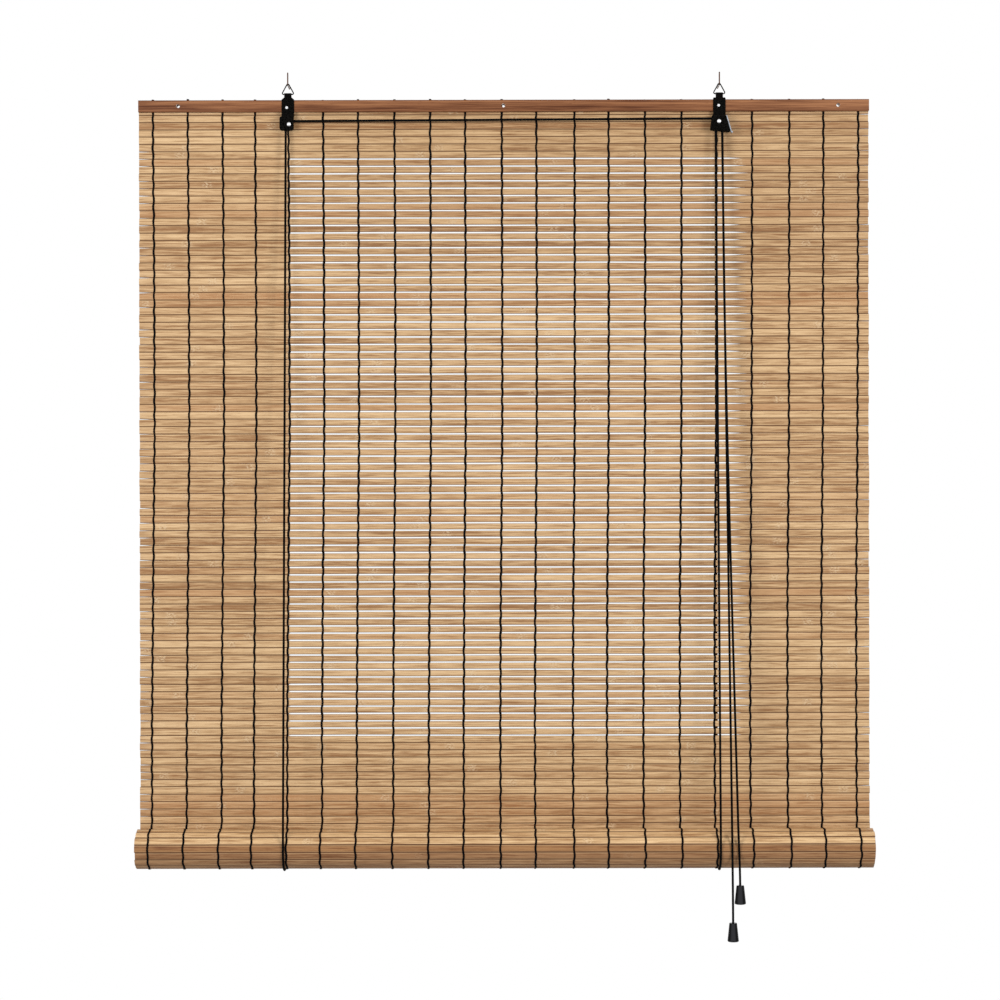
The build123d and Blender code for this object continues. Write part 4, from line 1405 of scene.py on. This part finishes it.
@dataclass
class YarnPairs:
    """The black yarn pairs that bind the slats, crossing between every two slats."""

    mat: SlatMat
    half_width: float = 1.22 * MM
    half_depth: float = 0.42 * MM
    pressed_depth: float = 0.19 * MM
    sway: float = 0.44 * MM
    cross: float = 0.34 * MM
    loop_rise: float = 1.5 * MM
    knob: float = 0.55 * MM
    sides: int = 6
    pairs: int = 21

    DRIFT_AT = (0, 5, 23, 45, 66, 85, 95, 101)
    DRIFT = (0.4 * MM, 0.4 * MM, 0.6 * MM, 0.25 * MM, -1.8 * MM, -2.8 * MM, -2.7 * MM, -2.7 * MM)
    DRAW_IN = (0.0, 0.0, 0.0021, 0.0034, 0.0031, 0.0014, 0.0008, 0.0)
    ASIDE = {4: -0.85 * MM, 10: 1.3 * MM}

    STEPS = ((0.0, 0.0), (0.12, 0.8), (0.30, 1.0), (0.5, 1.02), (0.70, 1.0), (0.88, 0.8))
    PRESSED = (-0.2 * MM, 1.6 * MM)
    KNOB_STARTS = (-0.6 * MM, 0.1 * MM)
    KNOB_ENDS = (1.0 * MM, 2.6 * MM)
    SUNK = 0.06 * MM
    STRAY = 0.16 * MM
    CROSSING = 4.5
    LOOP_SPREAD = 0.6
    SWELL = 0.10
    KNOB_SWELL = 0.16

    def __post_init__(self) -> None:
        """Draws the small unevenness of each pair."""
        self.chance = np.random.default_rng(90210)
        self.jitter = self.chance.uniform(-1.0, 1.0, (self.pairs, self.mat.slats + 1))
        self.rail_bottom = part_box("headrail")[0].z

    def reach(self) -> float:
        """Returns how far the middle of a yarn stands from the middle of the slats."""
        return self.mat.thickness / 2 + self.half_depth - self.SUNK

    def parting(self, share: np.ndarray | float) -> np.ndarray | float:
        """How far apart the two yarns stand, most where they cross between two slats.

        Args:
            share: Place on the slat, from 0 to 1.

        Returns:
            The distance of each from the pair's middle line.
        """
        return self.cross * (1 - np.minimum(1.0, self.CROSSING * np.minimum(share, 1 - share)))

    def across(self, pair: int, place: np.ndarray) -> np.ndarray:
        """Where a pair stands across the mat, at places counted in slats from the top.

        Args:
            pair: Number of the pair.
            place: Places along the pair.

        Returns:
            The x of the pair's middle line.
        """
        low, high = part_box(f"warp_{pair + 1:02d}")
        middle_x = (low.x + high.x) / 2 + self.ASIDE.get(pair, 0.0)
        drift = np.interp(place, self.DRIFT_AT, self.DRIFT)
        return middle_x * (1 - np.interp(place, self.DRIFT_AT, self.DRAW_IN)) + drift

    def path(
        self, pair: int, yarn: Yarn, first: int, last: int
    ) -> tuple[np.ndarray, np.ndarray, np.ndarray]:
        """Route of one yarn past a range of slats.

        Args:
            pair: Number of the pair, from 0 at the left.
            yarn: Which of the two.
            first: First slat.
            last: The slat after the last.

        Returns:
            The path, and the half width and half depth of the yarn along it.
        """
        rows: list[tuple[float, float, float, float]] = []
        for slat in range(first, last):
            face = yarn.value * (1 if slat % 2 == 0 else -1)
            for share, depth in self.STEPS:
                rows.append((slat + share, face * depth, slat, share))
        rows.append((float(last), 0.0, last, 0.0))
        table = np.array(rows)
        place = table[:, 0]
        joint = np.arange(self.mat.slats + 1)
        lateral = self.sway * np.where(table[:, 2] % 2 == 0, -1.0, 1.0) * np.abs(table[:, 1])
        lateral = lateral + self.STRAY * np.interp(place, joint, self.jitter[pair])
        apart = yarn.value * self.parting(table[:, 3])
        z = self.mat.height_at(place)
        below = self.rail_bottom - z
        pressed = smooth_step(-below, *self.PRESSED)
        knob = smooth_step(below, *self.KNOB_STARTS) * (1 - smooth_step(below, *self.KNOB_ENDS))
        thin = self.half_depth + (self.pressed_depth - self.half_depth) * pressed
        stand = self.mat.thickness / 2 + thin - self.SUNK * (1 - pressed)
        y = self.mat.middle_y - table[:, 1] * stand
        x = self.across(pair, place) + lateral + apart - self.knob * knob
        if first == 0:
            z[0] = self.mat.top + self.loop_rise * (1 + self.LOOP_SPREAD * self.jitter[pair][0])
        swell = self.SWELL * np.interp(place, joint, self.jitter[pair][::-1])
        wide = self.half_width * (1 + swell + self.KNOB_SWELL * knob)
        return np.stack([x, y, z], axis=1), wide, thin

    def add_pair(self, mesh: StripMesh, pair: int, first: int, last: int) -> None:
        """Adds both yarns of a pair to a mesh.

        Args:
            mesh: Where they go.
            pair: Number of the pair.
            first: First slat.
            last: The slat after the last.
        """
        for yarn in Yarn:
            path, wide, thin = self.path(pair, yarn, first, last)
            rings = tube_rings(path, wide, thin, self.sides, (1.0, 0.0, 0.0))
            around = np.arange(self.sides + 1) / self.sides
            mesh.sweep(rings, run_length(path), around, float(pair))

    def build(self) -> list[bpy.types.Object]:
        """Makes the yarns: one still piece by the headrail and one piece a pair below it."""
        head = StripMesh()
        for pair in range(self.pairs):
            self.add_pair(head, pair, 0, self.mat.first_open)
        made = [head.build("yarns_head", BLACK_YARN, BLACK_YARN, 70.0)]
        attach(made[0], Body.BLIND.value)
        for pair in range(self.pairs):
            mesh = StripMesh()
            self.add_pair(mesh, pair, self.mat.first_open, self.mat.slats)
            piece = mesh.build(f"yarn_{pair + 1:02d}", BLACK_YARN, BLACK_YARN, 70.0)
            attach(piece, Body.BLIND.value)
            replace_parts(piece, f"warp_{pair + 1:02d}")
            made.append(piece)
        return made


@dataclass
class WoundRoll:
    """The wound part of the mat: slats as the chords of a spiral, with yarns on its outer turn."""

    mat: SlatMat
    yarns: YarnPairs
    facets: int = 16
    turns: float = 6.0
    front_facet: int = 8
    front_angle: float = 188.3
    outer_draw_in: float = 0.996

    TRIM = (-0.7, 0.3)
    CLEARANCE = 0.12 * MM
    WOBBLE = (0.03, 0.10)
    SAG = 0.10 * MM
    STRAY = 0.22 * MM
    NUMBERS_FROM = 200
    BROWN_TINTS = ((0.66, 0.56, 0.51), (0.53, 0.41, 0.35), (0.54, 0.40, 0.29))
    # paler tint of the slats on the roll's top: painted light from above
    PAINTED_LIGHT_TINT = (1.16, 1.18, 1.18)
    ASIDE = {4: 1.6 * MM}
    start_radius: float = 25.25 * MM
    settled_radius: float = 23.5 * MM
    inner_loss: float = 0.2 * MM
    turn_pitch: float = 1.9 * MM
    outer_stations: int = 46
    inner_stations: int = 8

    def __post_init__(self) -> None:
        """Takes the roll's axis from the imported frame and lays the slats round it."""
        joint = next(j for j in frame["joints"] if j["name"] == "roll_turn")
        self.axis_y, self.axis_z = joint["pos_m"][1], joint["pos_m"][2]
        self.chance = np.random.default_rng(5150)
        self.angles = self.facet_angles()

    def radius(self, angle: float) -> float:
        """Distance of a slat's middle from the axis.

        Args:
            angle: How far the mat has wound, from 0 at the back.

        Returns:
            The distance.
        """
        quarter = math.tau / 4
        if angle < quarter:
            share = max(0.0, angle / quarter)
            change = self.settled_radius - self.start_radius
            return self.start_radius + change * math.sin(share * math.pi / 2)
        if angle < math.tau:
            return self.settled_radius - self.inner_loss * (angle - quarter) / (math.tau - quarter)
        return self.settled_radius - self.inner_loss - self.turn_pitch * (angle - math.tau) / math.tau

    def facet_step(self, angle: float) -> float:
        """Returns the angle that one slat takes up at a place on the spiral."""
        return 2 * math.atan(self.mat.pitch / 2 / self.radius(angle))

    def facet_angles(self) -> list[float]:
        """Lays slats edge to edge round the spiral, with one of them square to the eye in front.

        Returns:
            The angle of each slat's middle, from the outer end inwards.
        """
        front = math.radians(self.front_angle)
        angles = [front]
        for _ in range(self.front_facet):
            angles.insert(0, angles[0] - self.facet_step(angles[0]))
        while angles[-1] < self.turns * math.tau:
            angles.append(angles[-1] + self.facet_step(angles[-1]))
        return angles

    def place(self, angle: float, radius: float) -> tuple[float, float]:
        """Point on the spiral.

        Args:
            angle: How far the mat has wound.
            radius: Distance from the axis.

        Returns:
            The point's y and z.
        """
        return self.axis_y + radius * math.cos(angle), self.axis_z - radius * math.sin(angle)

    def tint(self, facet: int) -> Triple:
        """Tint of a wound slat: brown ones face the eye and the ground, and the paler tint on those above is
        painted light from above.

        Args:
            facet: Its place on the spiral.

        Returns:
            The tint.
        """
        if facet > self.facets + 2:
            return (1.0, 1.0, 1.0)
        if facet > self.front_facet:
            return self.PAINTED_LIGHT_TINT
        return self.BROWN_TINTS[max(0, facet - self.front_facet + len(self.BROWN_TINTS) - 1)]

    def add_slat(self, mesh: StripMesh, facet: int, stations: int) -> None:
        """Adds one wound slat.

        Args:
            mesh: Where it goes.
            facet: Its place on the spiral.
            stations: How many sections it has.
        """
        half = self.mat.half_width
        x = np.linspace(-half, half, stations)
        trim = self.chance.uniform(*self.TRIM, 2) * MM
        x[0] -= trim[0]
        x[-1] += trim[1]
        angle = self.angles[facet]
        radius = self.radius(angle)
        wobble = self.chance.uniform(*self.WOBBLE) * MM
        height = np.full_like(x, self.mat.pitch - self.CLEARANCE)
        height = height - wobble * (1 + np.sin(11 * x + facet))
        y, z = self.mat.section(height)
        outward = np.array([math.cos(angle), -math.sin(angle)])
        forward = np.array([-math.sin(angle), -math.cos(angle)])
        sag = self.SAG * np.sin(7.3 * x + 1.7 * facet)[:, None]
        out = radius - y + sag
        ring_y = self.axis_y + outward[0] * out + forward[0] * z
        ring_z = self.axis_z + outward[1] * out + forward[1] * z
        rings = np.stack([np.broadcast_to(x[:, None], z.shape), ring_y, ring_z], axis=-1)
        mesh.sweep(rings, x, self.mat.crosswise(z), float(self.NUMBERS_FROM + facet), self.tint(facet))

    def build_slats(self) -> bpy.types.Object:
        """Makes the wound slats, finely on the outer turn and coarsely inside."""
        mesh = StripMesh()
        for facet in range(len(self.angles)):
            outer = facet <= self.facets + 2
            self.add_slat(mesh, facet, self.outer_stations if outer else self.inner_stations)
        piece = mesh.build("wound_slats", BAMBOO, BAMBOO_END)
        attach(piece, Body.ROLL.value)
        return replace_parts(piece, "roll_turns")

    def build_yarns(self) -> bpy.types.Object:
        """Makes the yarn pairs on the outer turn."""
        mesh = StripMesh()
        for pair in range(self.yarns.pairs):
            middle_x = float(self.yarns.across(pair, self.mat.slats)) * self.outer_draw_in
            middle_x += self.ASIDE.get(pair, 0.0)
            for yarn in Yarn:
                self.add_yarn(mesh, pair, yarn, middle_x)
        piece = mesh.build("wound_yarns", BLACK_YARN, BLACK_YARN, 70.0)
        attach(piece, Body.ROLL.value)
        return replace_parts(piece, "roll_warps")

    def add_yarn(self, mesh: StripMesh, pair: int, yarn: Yarn, middle_x: float) -> None:
        """Adds one yarn round the outer turn.

        Args:
            mesh: Where it goes.
            pair: Number of the pair.
            yarn: Which of the two.
            middle_x: Where the pair stands.
        """
        rows = []
        jitter = self.chance.uniform(-1.0, 1.0, self.facets + 2)
        for facet in range(self.facets + 1):
            face = yarn.value * (1 if facet % 2 == 0 else -1)
            for share, depth in YarnPairs.STEPS:
                turned = (share - 0.5) * self.facet_step(self.angles[facet])
                angle = self.angles[facet] + turned
                chord = self.radius(angle) / math.cos(turned)
                stand = self.yarns.reach() * face * depth
                sway = self.yarns.sway * (1 if facet % 2 else -1) * depth
                sway += self.STRAY * (jitter[facet] * (1 - share) + jitter[facet + 1] * share)
                apart = yarn.value * self.yarns.parting(share)
                y, z = self.place(angle, chord + stand)
                rows.append((middle_x + sway + apart, y, z))
        path = np.array(rows)
        wide = np.full(len(path), self.yarns.half_width)
        thin = np.full(len(path), self.yarns.half_depth * 0.9)
        rings = tube_rings(path, wide, thin, self.yarns.sides, (1.0, 0.0, 0.0))
        mesh.sweep(rings, run_length(path), np.arange(self.yarns.sides + 1) / self.yarns.sides, float(pair))

    def build(self) -> list[bpy.types.Object]:
        """Makes the wound slats and their yarns."""
        return [self.build_slats(), self.build_yarns()]


@dataclass
class CordSet:
    """The braided black cords: lift runs, loops, the cross cord and the two pull cords."""

    radius: float = 1.40 * MM
    sides: int = 10
    spacing: float = 1.5 * MM
    bend: float = 4.1 * MM
    left_axle: tuple[float, float] = (-264.0 * MM, -48.55 * MM)
    right_axle: tuple[float, float] = (264.6 * MM, -46.15 * MM)
    rear_groove: float = -16.1 * MM
    front_groove: float = -19.5 * MM
    loop_left: float = -269.4 * MM
    loop_right: float = 261.7 * MM
    loop_top: float = -931.15 * MM
    loop_radius: float = 25.6 * MM
    roll_axis: tuple[float, float] = (-32.8 * MM, -937.15 * MM)
    back_y: float = -4.0 * MM
    anchor_z: float = -29.55 * MM

    PULL_REAR = (
        (0.2687, -0.0161, -0.04615),
        (0.2687, -0.0161, -0.05615),
        (0.2688, -0.0167, -0.0688),
        (0.2754, -0.0579, -0.9124),
        (0.2755, -0.0585, -0.925),
        (0.2763, -0.0589, -1.010),
        (0.2763, -0.0589, -1.0398),
    )
    PULL_FRONT = (
        (0.2687, -0.0195, -0.04615),
        (0.2687, -0.0195, -0.05615),
        (0.2688, -0.0201, -0.0688),
        (0.2699, -0.0324, -0.330),
        (0.2826, -0.0579, -0.8995),
        (0.2829, -0.0585, -0.912),
        (0.2850, -0.0589, -0.968),
        (0.2850, -0.0589, -0.9944),
    )
    LAY = 4.2 * MM
    RIDGE = 0.035
    REAR_SPLIT = -0.925
    FRONT_SPLIT = -0.912

    def tube(self, name: str, path: np.ndarray) -> tuple[bpy.types.Object, np.ndarray]:
        """Makes a braided cord along a path.

        Args:
            name: The piece's name.
            path: The cord's middle line.

        Returns:
            The piece, and the middles of its rings.
        """
        centres = even_path(path, self.spacing)
        travelled = run_length(centres)
        doubled = 2 * np.arange(self.sides)[None, :] * math.tau / self.sides
        wound = travelled[:, None] * math.tau / self.LAY
        swell = 1 + self.RIDGE * np.sin(doubled + wound)
        swell = swell * (1 + self.RIDGE * np.sin(doubled - wound))
        size = np.full(len(centres), self.radius)
        rings = tube_rings(centres, size, size, self.sides, (1.0, 0.02, 0.0))
        rings = centres[:, None, :] + (rings - centres[:, None, :]) * swell[:, :, None]
        mesh = StripMesh()
        mesh.sweep(rings, travelled, np.arange(self.sides + 1) / self.sides)
        return mesh.build(name, BLACK_CORD, BLACK_CORD, 70.0), centres

    def arc(self, centre: tuple[float, float], start: float, end: float, depth: float) -> list[Triple]:
        """Points of a cord round a pulley, in the plane of its groove.

        Args:
            centre: The axle's x and z.
            start: First angle in degrees, from +X towards +Z.
            end: Last angle in degrees.
            depth: The groove's y.

        Returns:
            The points.
        """
        steps = 12
        made = []
        for step in range(steps + 1):
            angle = math.radians(start + (end - start) * step / steps)
            x = centre[0] + self.bend * math.cos(angle)
            made.append((x, depth, centre[1] + self.bend * math.sin(angle)))
        return made

    def loop_path(self, x: float) -> np.ndarray:
        """Route of a lift cord under the roll, from the front to the back of the mat.

        Args:
            x: Where the cord stands.

        Returns:
            The path.
        """
        axis_y, axis_z = self.roll_axis
        back_radius = self.back_y - axis_y
        route = [(x, axis_y - self.loop_radius, self.loop_top)]
        steps = 40
        for step in range(steps + 1):
            share = step / steps
            swell = float(smooth_step(np.array(share), 0.5, 1.0))
            radius = self.loop_radius + (back_radius - self.loop_radius) * swell
            angle = math.pi * share
            route.append((x, axis_y - radius * math.cos(angle), axis_z - radius * math.sin(angle)))
        route.append((x, self.back_y, self.loop_top))
        return np.array(route)

    def back_run(self, x: float) -> list[Triple]:
        """Ends of a lift cord's run behind the mat.

        Args:
            x: Where the cord stands.

        Returns:
            The upper and the lower end.
        """
        return [(x, self.back_y, self.anchor_z), (x, self.back_y, self.loop_top)]

    def build_held(self) -> list[bpy.types.Object]:
        """Makes the cords that the blind holds all the way."""
        left_run = (self.left_axle[0] - self.bend, self.rear_groove, self.left_axle[1])
        right_run = (self.right_axle[0] - self.bend, self.front_groove, self.right_axle[1])
        front_y = self.roll_axis[0] - self.loop_radius
        over_left = self.arc(self.left_axle, 180, 90, self.rear_groove)
        over_right = self.arc(self.right_axle, 90, 0, self.rear_groove)
        paths = {
            "lift_left_front": [left_run, (self.loop_left, front_y, self.loop_top)],
            "lift_right_front": [right_run, (self.loop_right, front_y, self.loop_top)],
            "lift_left_back": self.back_run(self.loop_left),
            "lift_right_back": self.back_run(self.loop_right),
            "cross_cord": over_left + over_right,
            "right_wrap": self.arc(self.right_axle, 180, 0, self.front_groove),
            "lift_left_loop": self.loop_path(self.loop_left),
            "lift_right_loop": self.loop_path(self.loop_right),
        }
        made = []
        for node, path in paths.items():
            piece, _ = self.tube(f"{node}_cord", np.array(path))
            body = Body.LIFT if node.endswith("loop") else Body.BLIND
            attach(piece, body.value)
            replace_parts(piece, node)
            made.append(piece)
        return made

    def build_pull(
        self, name: str, route: tuple[Triple, ...], split: float
    ) -> list[bpy.types.Object]:
        """Makes a pull cord in two pieces that meet in front of the roll.

        Args:
            name: The node that the cord stands for.
            route: Control points of the whole cord.
            split: Height at which the pieces meet.

        Returns:
            The upper and the lower piece.
        """
        path = route_path(name, list(route))
        meet = int(np.argmin(np.abs(path[:, 2] - split)))
        upper, upper_line = self.tube(f"{name}_upper", path[: meet + 1])
        lower, lower_line = self.tube(f"{name}_lower", path[meet:])
        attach(upper, Body.BLIND.value)
        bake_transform(lower)
        for piece in (upper, lower):
            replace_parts(piece, name)
        return [upper, lower]


@dataclass
class Folding:
    """The soft pieces below the headrail, each given its own mesh."""

    rise: float = 0.84

    def gather(self, piece: bpy.types.Object) -> None:
        """Gives a piece its own copy of its mesh.

        Args:
            piece: A piece that rides on the blind.
        """
        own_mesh(piece)


NODE_FINISHES: dict[str, Finish] = {
    "wall_hook_left": HOOK_WIRE,
    "wall_hook_right": HOOK_WIRE,
    "ring_left": BLACK_WIRE,
    "ring_right": BLACK_WIRE,
    "bracket_left": BLACK_SHEET,
    "bracket_right": BLACK_SHEET,
    "bracket_nails": BRIGHT_STEEL,
    "axle_left": BRIGHT_STEEL,
    "axle_right": BRIGHT_STEEL,
    "lock_pin": BLACK_SHEET,
    "lock_lever": LEVER_STEEL,
    "pulley_left": PULLEY_PLASTIC,
    "pulley_rear": PULLEY_PLASTIC,
    "pulley_front": PULLEY_PLASTIC,
    "tassel_high": TASSEL_PLASTIC,
    "tassel_low": TASSEL_PLASTIC,
    "tassel_knots": BLACK_KNOT,
}


class Hardware:
    """The rigid pieces that keep their own solids and get their finish here."""

    def batten_finish(self, node: str) -> Finish:
        """Finish of a batten, with its darker edges at the batten's own height.

        Args:
            node: The batten's node.

        Returns:
            The finish.
        """
        low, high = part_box(node)
        if node == "headrail":
            tones = (linear(172, 118, 80), linear(137, 88, 57), linear(84, 43, 22), linear(76, 32, 13))
            return StainedWood("stained_batten", "stained_batten", *tones, low.z, high.z, 0.36)
        tones = (linear(206, 170, 126), linear(184, 146, 102), linear(150, 112, 74), linear(150, 112, 74))
        return StainedWood(f"plain_{node}", "plain_batten", *tones, low.z, high.z, 0.55)

    def dress(self) -> None:
        """Gives every carried-over node its finish."""
        finishes = dict(NODE_FINISHES)
        for node in ("headrail", "back_batten", "bottom_batten"):
            finishes[node] = self.batten_finish(node)
        for node, finish in finishes.items():
            finish.dress(frame["nodes"][node])
            LOG.info("dressed %s", node)


@dataclass
class Studio:
    """Camera, lamps, white surroundings and a plain pale floor."""

    camera_place: Triple = (-0.00536, -2.9376, -0.511)
    camera_roll: float = 0.11
    field_of_view: float = 23.78
    sensor: float = 36.0
    floor_z: float = -3.9
    floor_half: float = 4.0
    fill: float = 0.42

    LAMPS = (
        ("right_lamp", (1.5, -1.75, -0.05), 22.0, 0.8),
        ("left_lamp", (-1.5, -1.75, -0.05), 22.0, 0.8),
        ("back_lamp", (0.4, 2.8, 0.4), 30.0, 1.8),
    )

    def camera(self) -> None:
        """Sets the camera at the viewing angle of the reference."""
        data = bpy.data.cameras.new("camera")
        data.sensor_fit = "HORIZONTAL"
        data.sensor_width = self.sensor
        data.lens = self.sensor / 2 / math.tan(math.radians(self.field_of_view / 2))
        made = bpy.data.objects.new("camera", data)
        made.location = self.camera_place
        made.rotation_euler = (math.pi / 2, math.radians(self.camera_roll), 0.0)
        bpy.context.scene.collection.objects.link(made)
        bpy.context.scene.camera = made

    def lamp(
        self, name: str, place: Triple, power: float, size: float, target: Triple = (0.0, 0.0, -0.5)
    ) -> None:
        """Hangs a square soft lamp.

        Args:
            name: The lamp's name.
            place: Where it hangs.
            power: Its power in watts.
            size: Its side.
            target: What it faces.
        """
        data = bpy.data.lights.new(name, "AREA")
        data.energy = power
        data.size = size
        made = bpy.data.objects.new(name, data)
        made.location = place
        aim = Vector(target) - Vector(place)
        made.rotation_euler = aim.to_track_quat("-Z", "Y").to_euler()
        bpy.context.scene.collection.objects.link(made)

    def surroundings(self) -> None:
        """Makes the world white to the eye and in reflections, and a soft fill elsewhere."""
        world = bpy.data.worlds.new("studio")
        bpy.context.scene.world = world
        world.use_nodes = True
        world.node_tree.nodes.clear()
        graph = Graph(world.node_tree)
        seen = self.seen_directly(graph)
        white = graph.node("ShaderNodeBackground", {"Color": (1.0, 1.0, 1.0, 1.0), "Strength": 1.0})
        fill = graph.node("ShaderNodeBackground", {"Color": (1.0, 1.0, 1.0, 1.0), "Strength": self.fill})
        both = graph.node("ShaderNodeMixShader", {0: seen, 1: fill.outputs[0], 2: white.outputs[0]})
        graph.node("ShaderNodeOutputWorld", {"Surface": both.outputs[0]})

    @staticmethod
    def seen_directly(graph: Graph) -> bpy.types.NodeSocket:
        """Returns 1 for rays from the eye, mirrors and glass."""
        rays = graph.node("ShaderNodeLightPath").outputs
        mirrored = graph.math("MAXIMUM", rays["Is Glossy Ray"], rays["Is Transmission Ray"])
        return graph.math("MAXIMUM", rays["Is Camera Ray"], mirrored)

    def floor(self) -> None:
        """Lays the floor."""
        half = self.floor_half
        mesh = bpy.data.meshes.new("floor")
        corners = [(-half, -half, 0), (half, -half, 0), (half, half, 0), (-half, half, 0)]
        mesh.from_pydata(corners, [], [(0, 1, 2, 3)])
        made = bpy.data.objects.new("floor", mesh)
        made.location = (0.0, 0.0, self.floor_z)
        bpy.context.scene.collection.objects.link(made)
        paint = bpy.data.materials.new("pale_floor")
        paint.use_nodes = True
        paint.node_tree.nodes.clear()
        graph = Graph(paint.node_tree)
        mottle = graph.noise(object_place(graph), 3.0, 3.0)
        colour = graph.mix(mottle, linear(238, 237, 235), linear(246, 246, 245))
        shader = graph.node("ShaderNodeBsdfPrincipled", {"Base Color": colour, "Roughness": 0.7})
        graph.node("ShaderNodeOutputMaterial", {"Surface": shader.outputs[0]})
        mesh.materials.append(paint)

    def build(self) -> None:
        """Makes the whole studio."""
        self.camera()
        self.surroundings()
        self.floor()
        for name, place, power, size in self.LAMPS:
            self.lamp(name, place, power, size)
        settings = bpy.context.scene.view_settings
        settings.view_transform = "Standard"


def main() -> None:
    """Builds and dresses every piece in order."""
    logging.basicConfig(level=logging.INFO, format="%(name)s: %(message)s")
    Studio().build()
    LOG.info("studio ready")
    cords = CordSet()
    folding = Folding()
    held = {piece.name: piece for piece in cords.build_held()}
    for side, axle in (("left", cords.left_axle), ("right", cords.right_axle)):
        folding.gather(held[f"lift_{side}_front_cord"])
        folding.gather(held[f"lift_{side}_back_cord"])
    rear = cords.build_pull("pull_cord_rear", cords.PULL_REAR, cords.REAR_SPLIT)
    front = cords.build_pull("pull_cord_front", cords.PULL_FRONT, cords.FRONT_SPLIT)
    folding.gather(rear[0])
    folding.gather(front[0])
    LOG.info("cords ready")
    mat = SlatMat()
    for piece in mat.build()[1:]:
        folding.gather(piece)
    LOG.info("slats ready")
    yarns = YarnPairs(mat)
    for piece in yarns.build()[1:]:
        folding.gather(piece)
    LOG.info("yarns ready")
    WoundRoll(mat, yarns).build()
    LOG.info("roll ready")
    Hardware().dress()


if __name__ == "__main__":
    main()
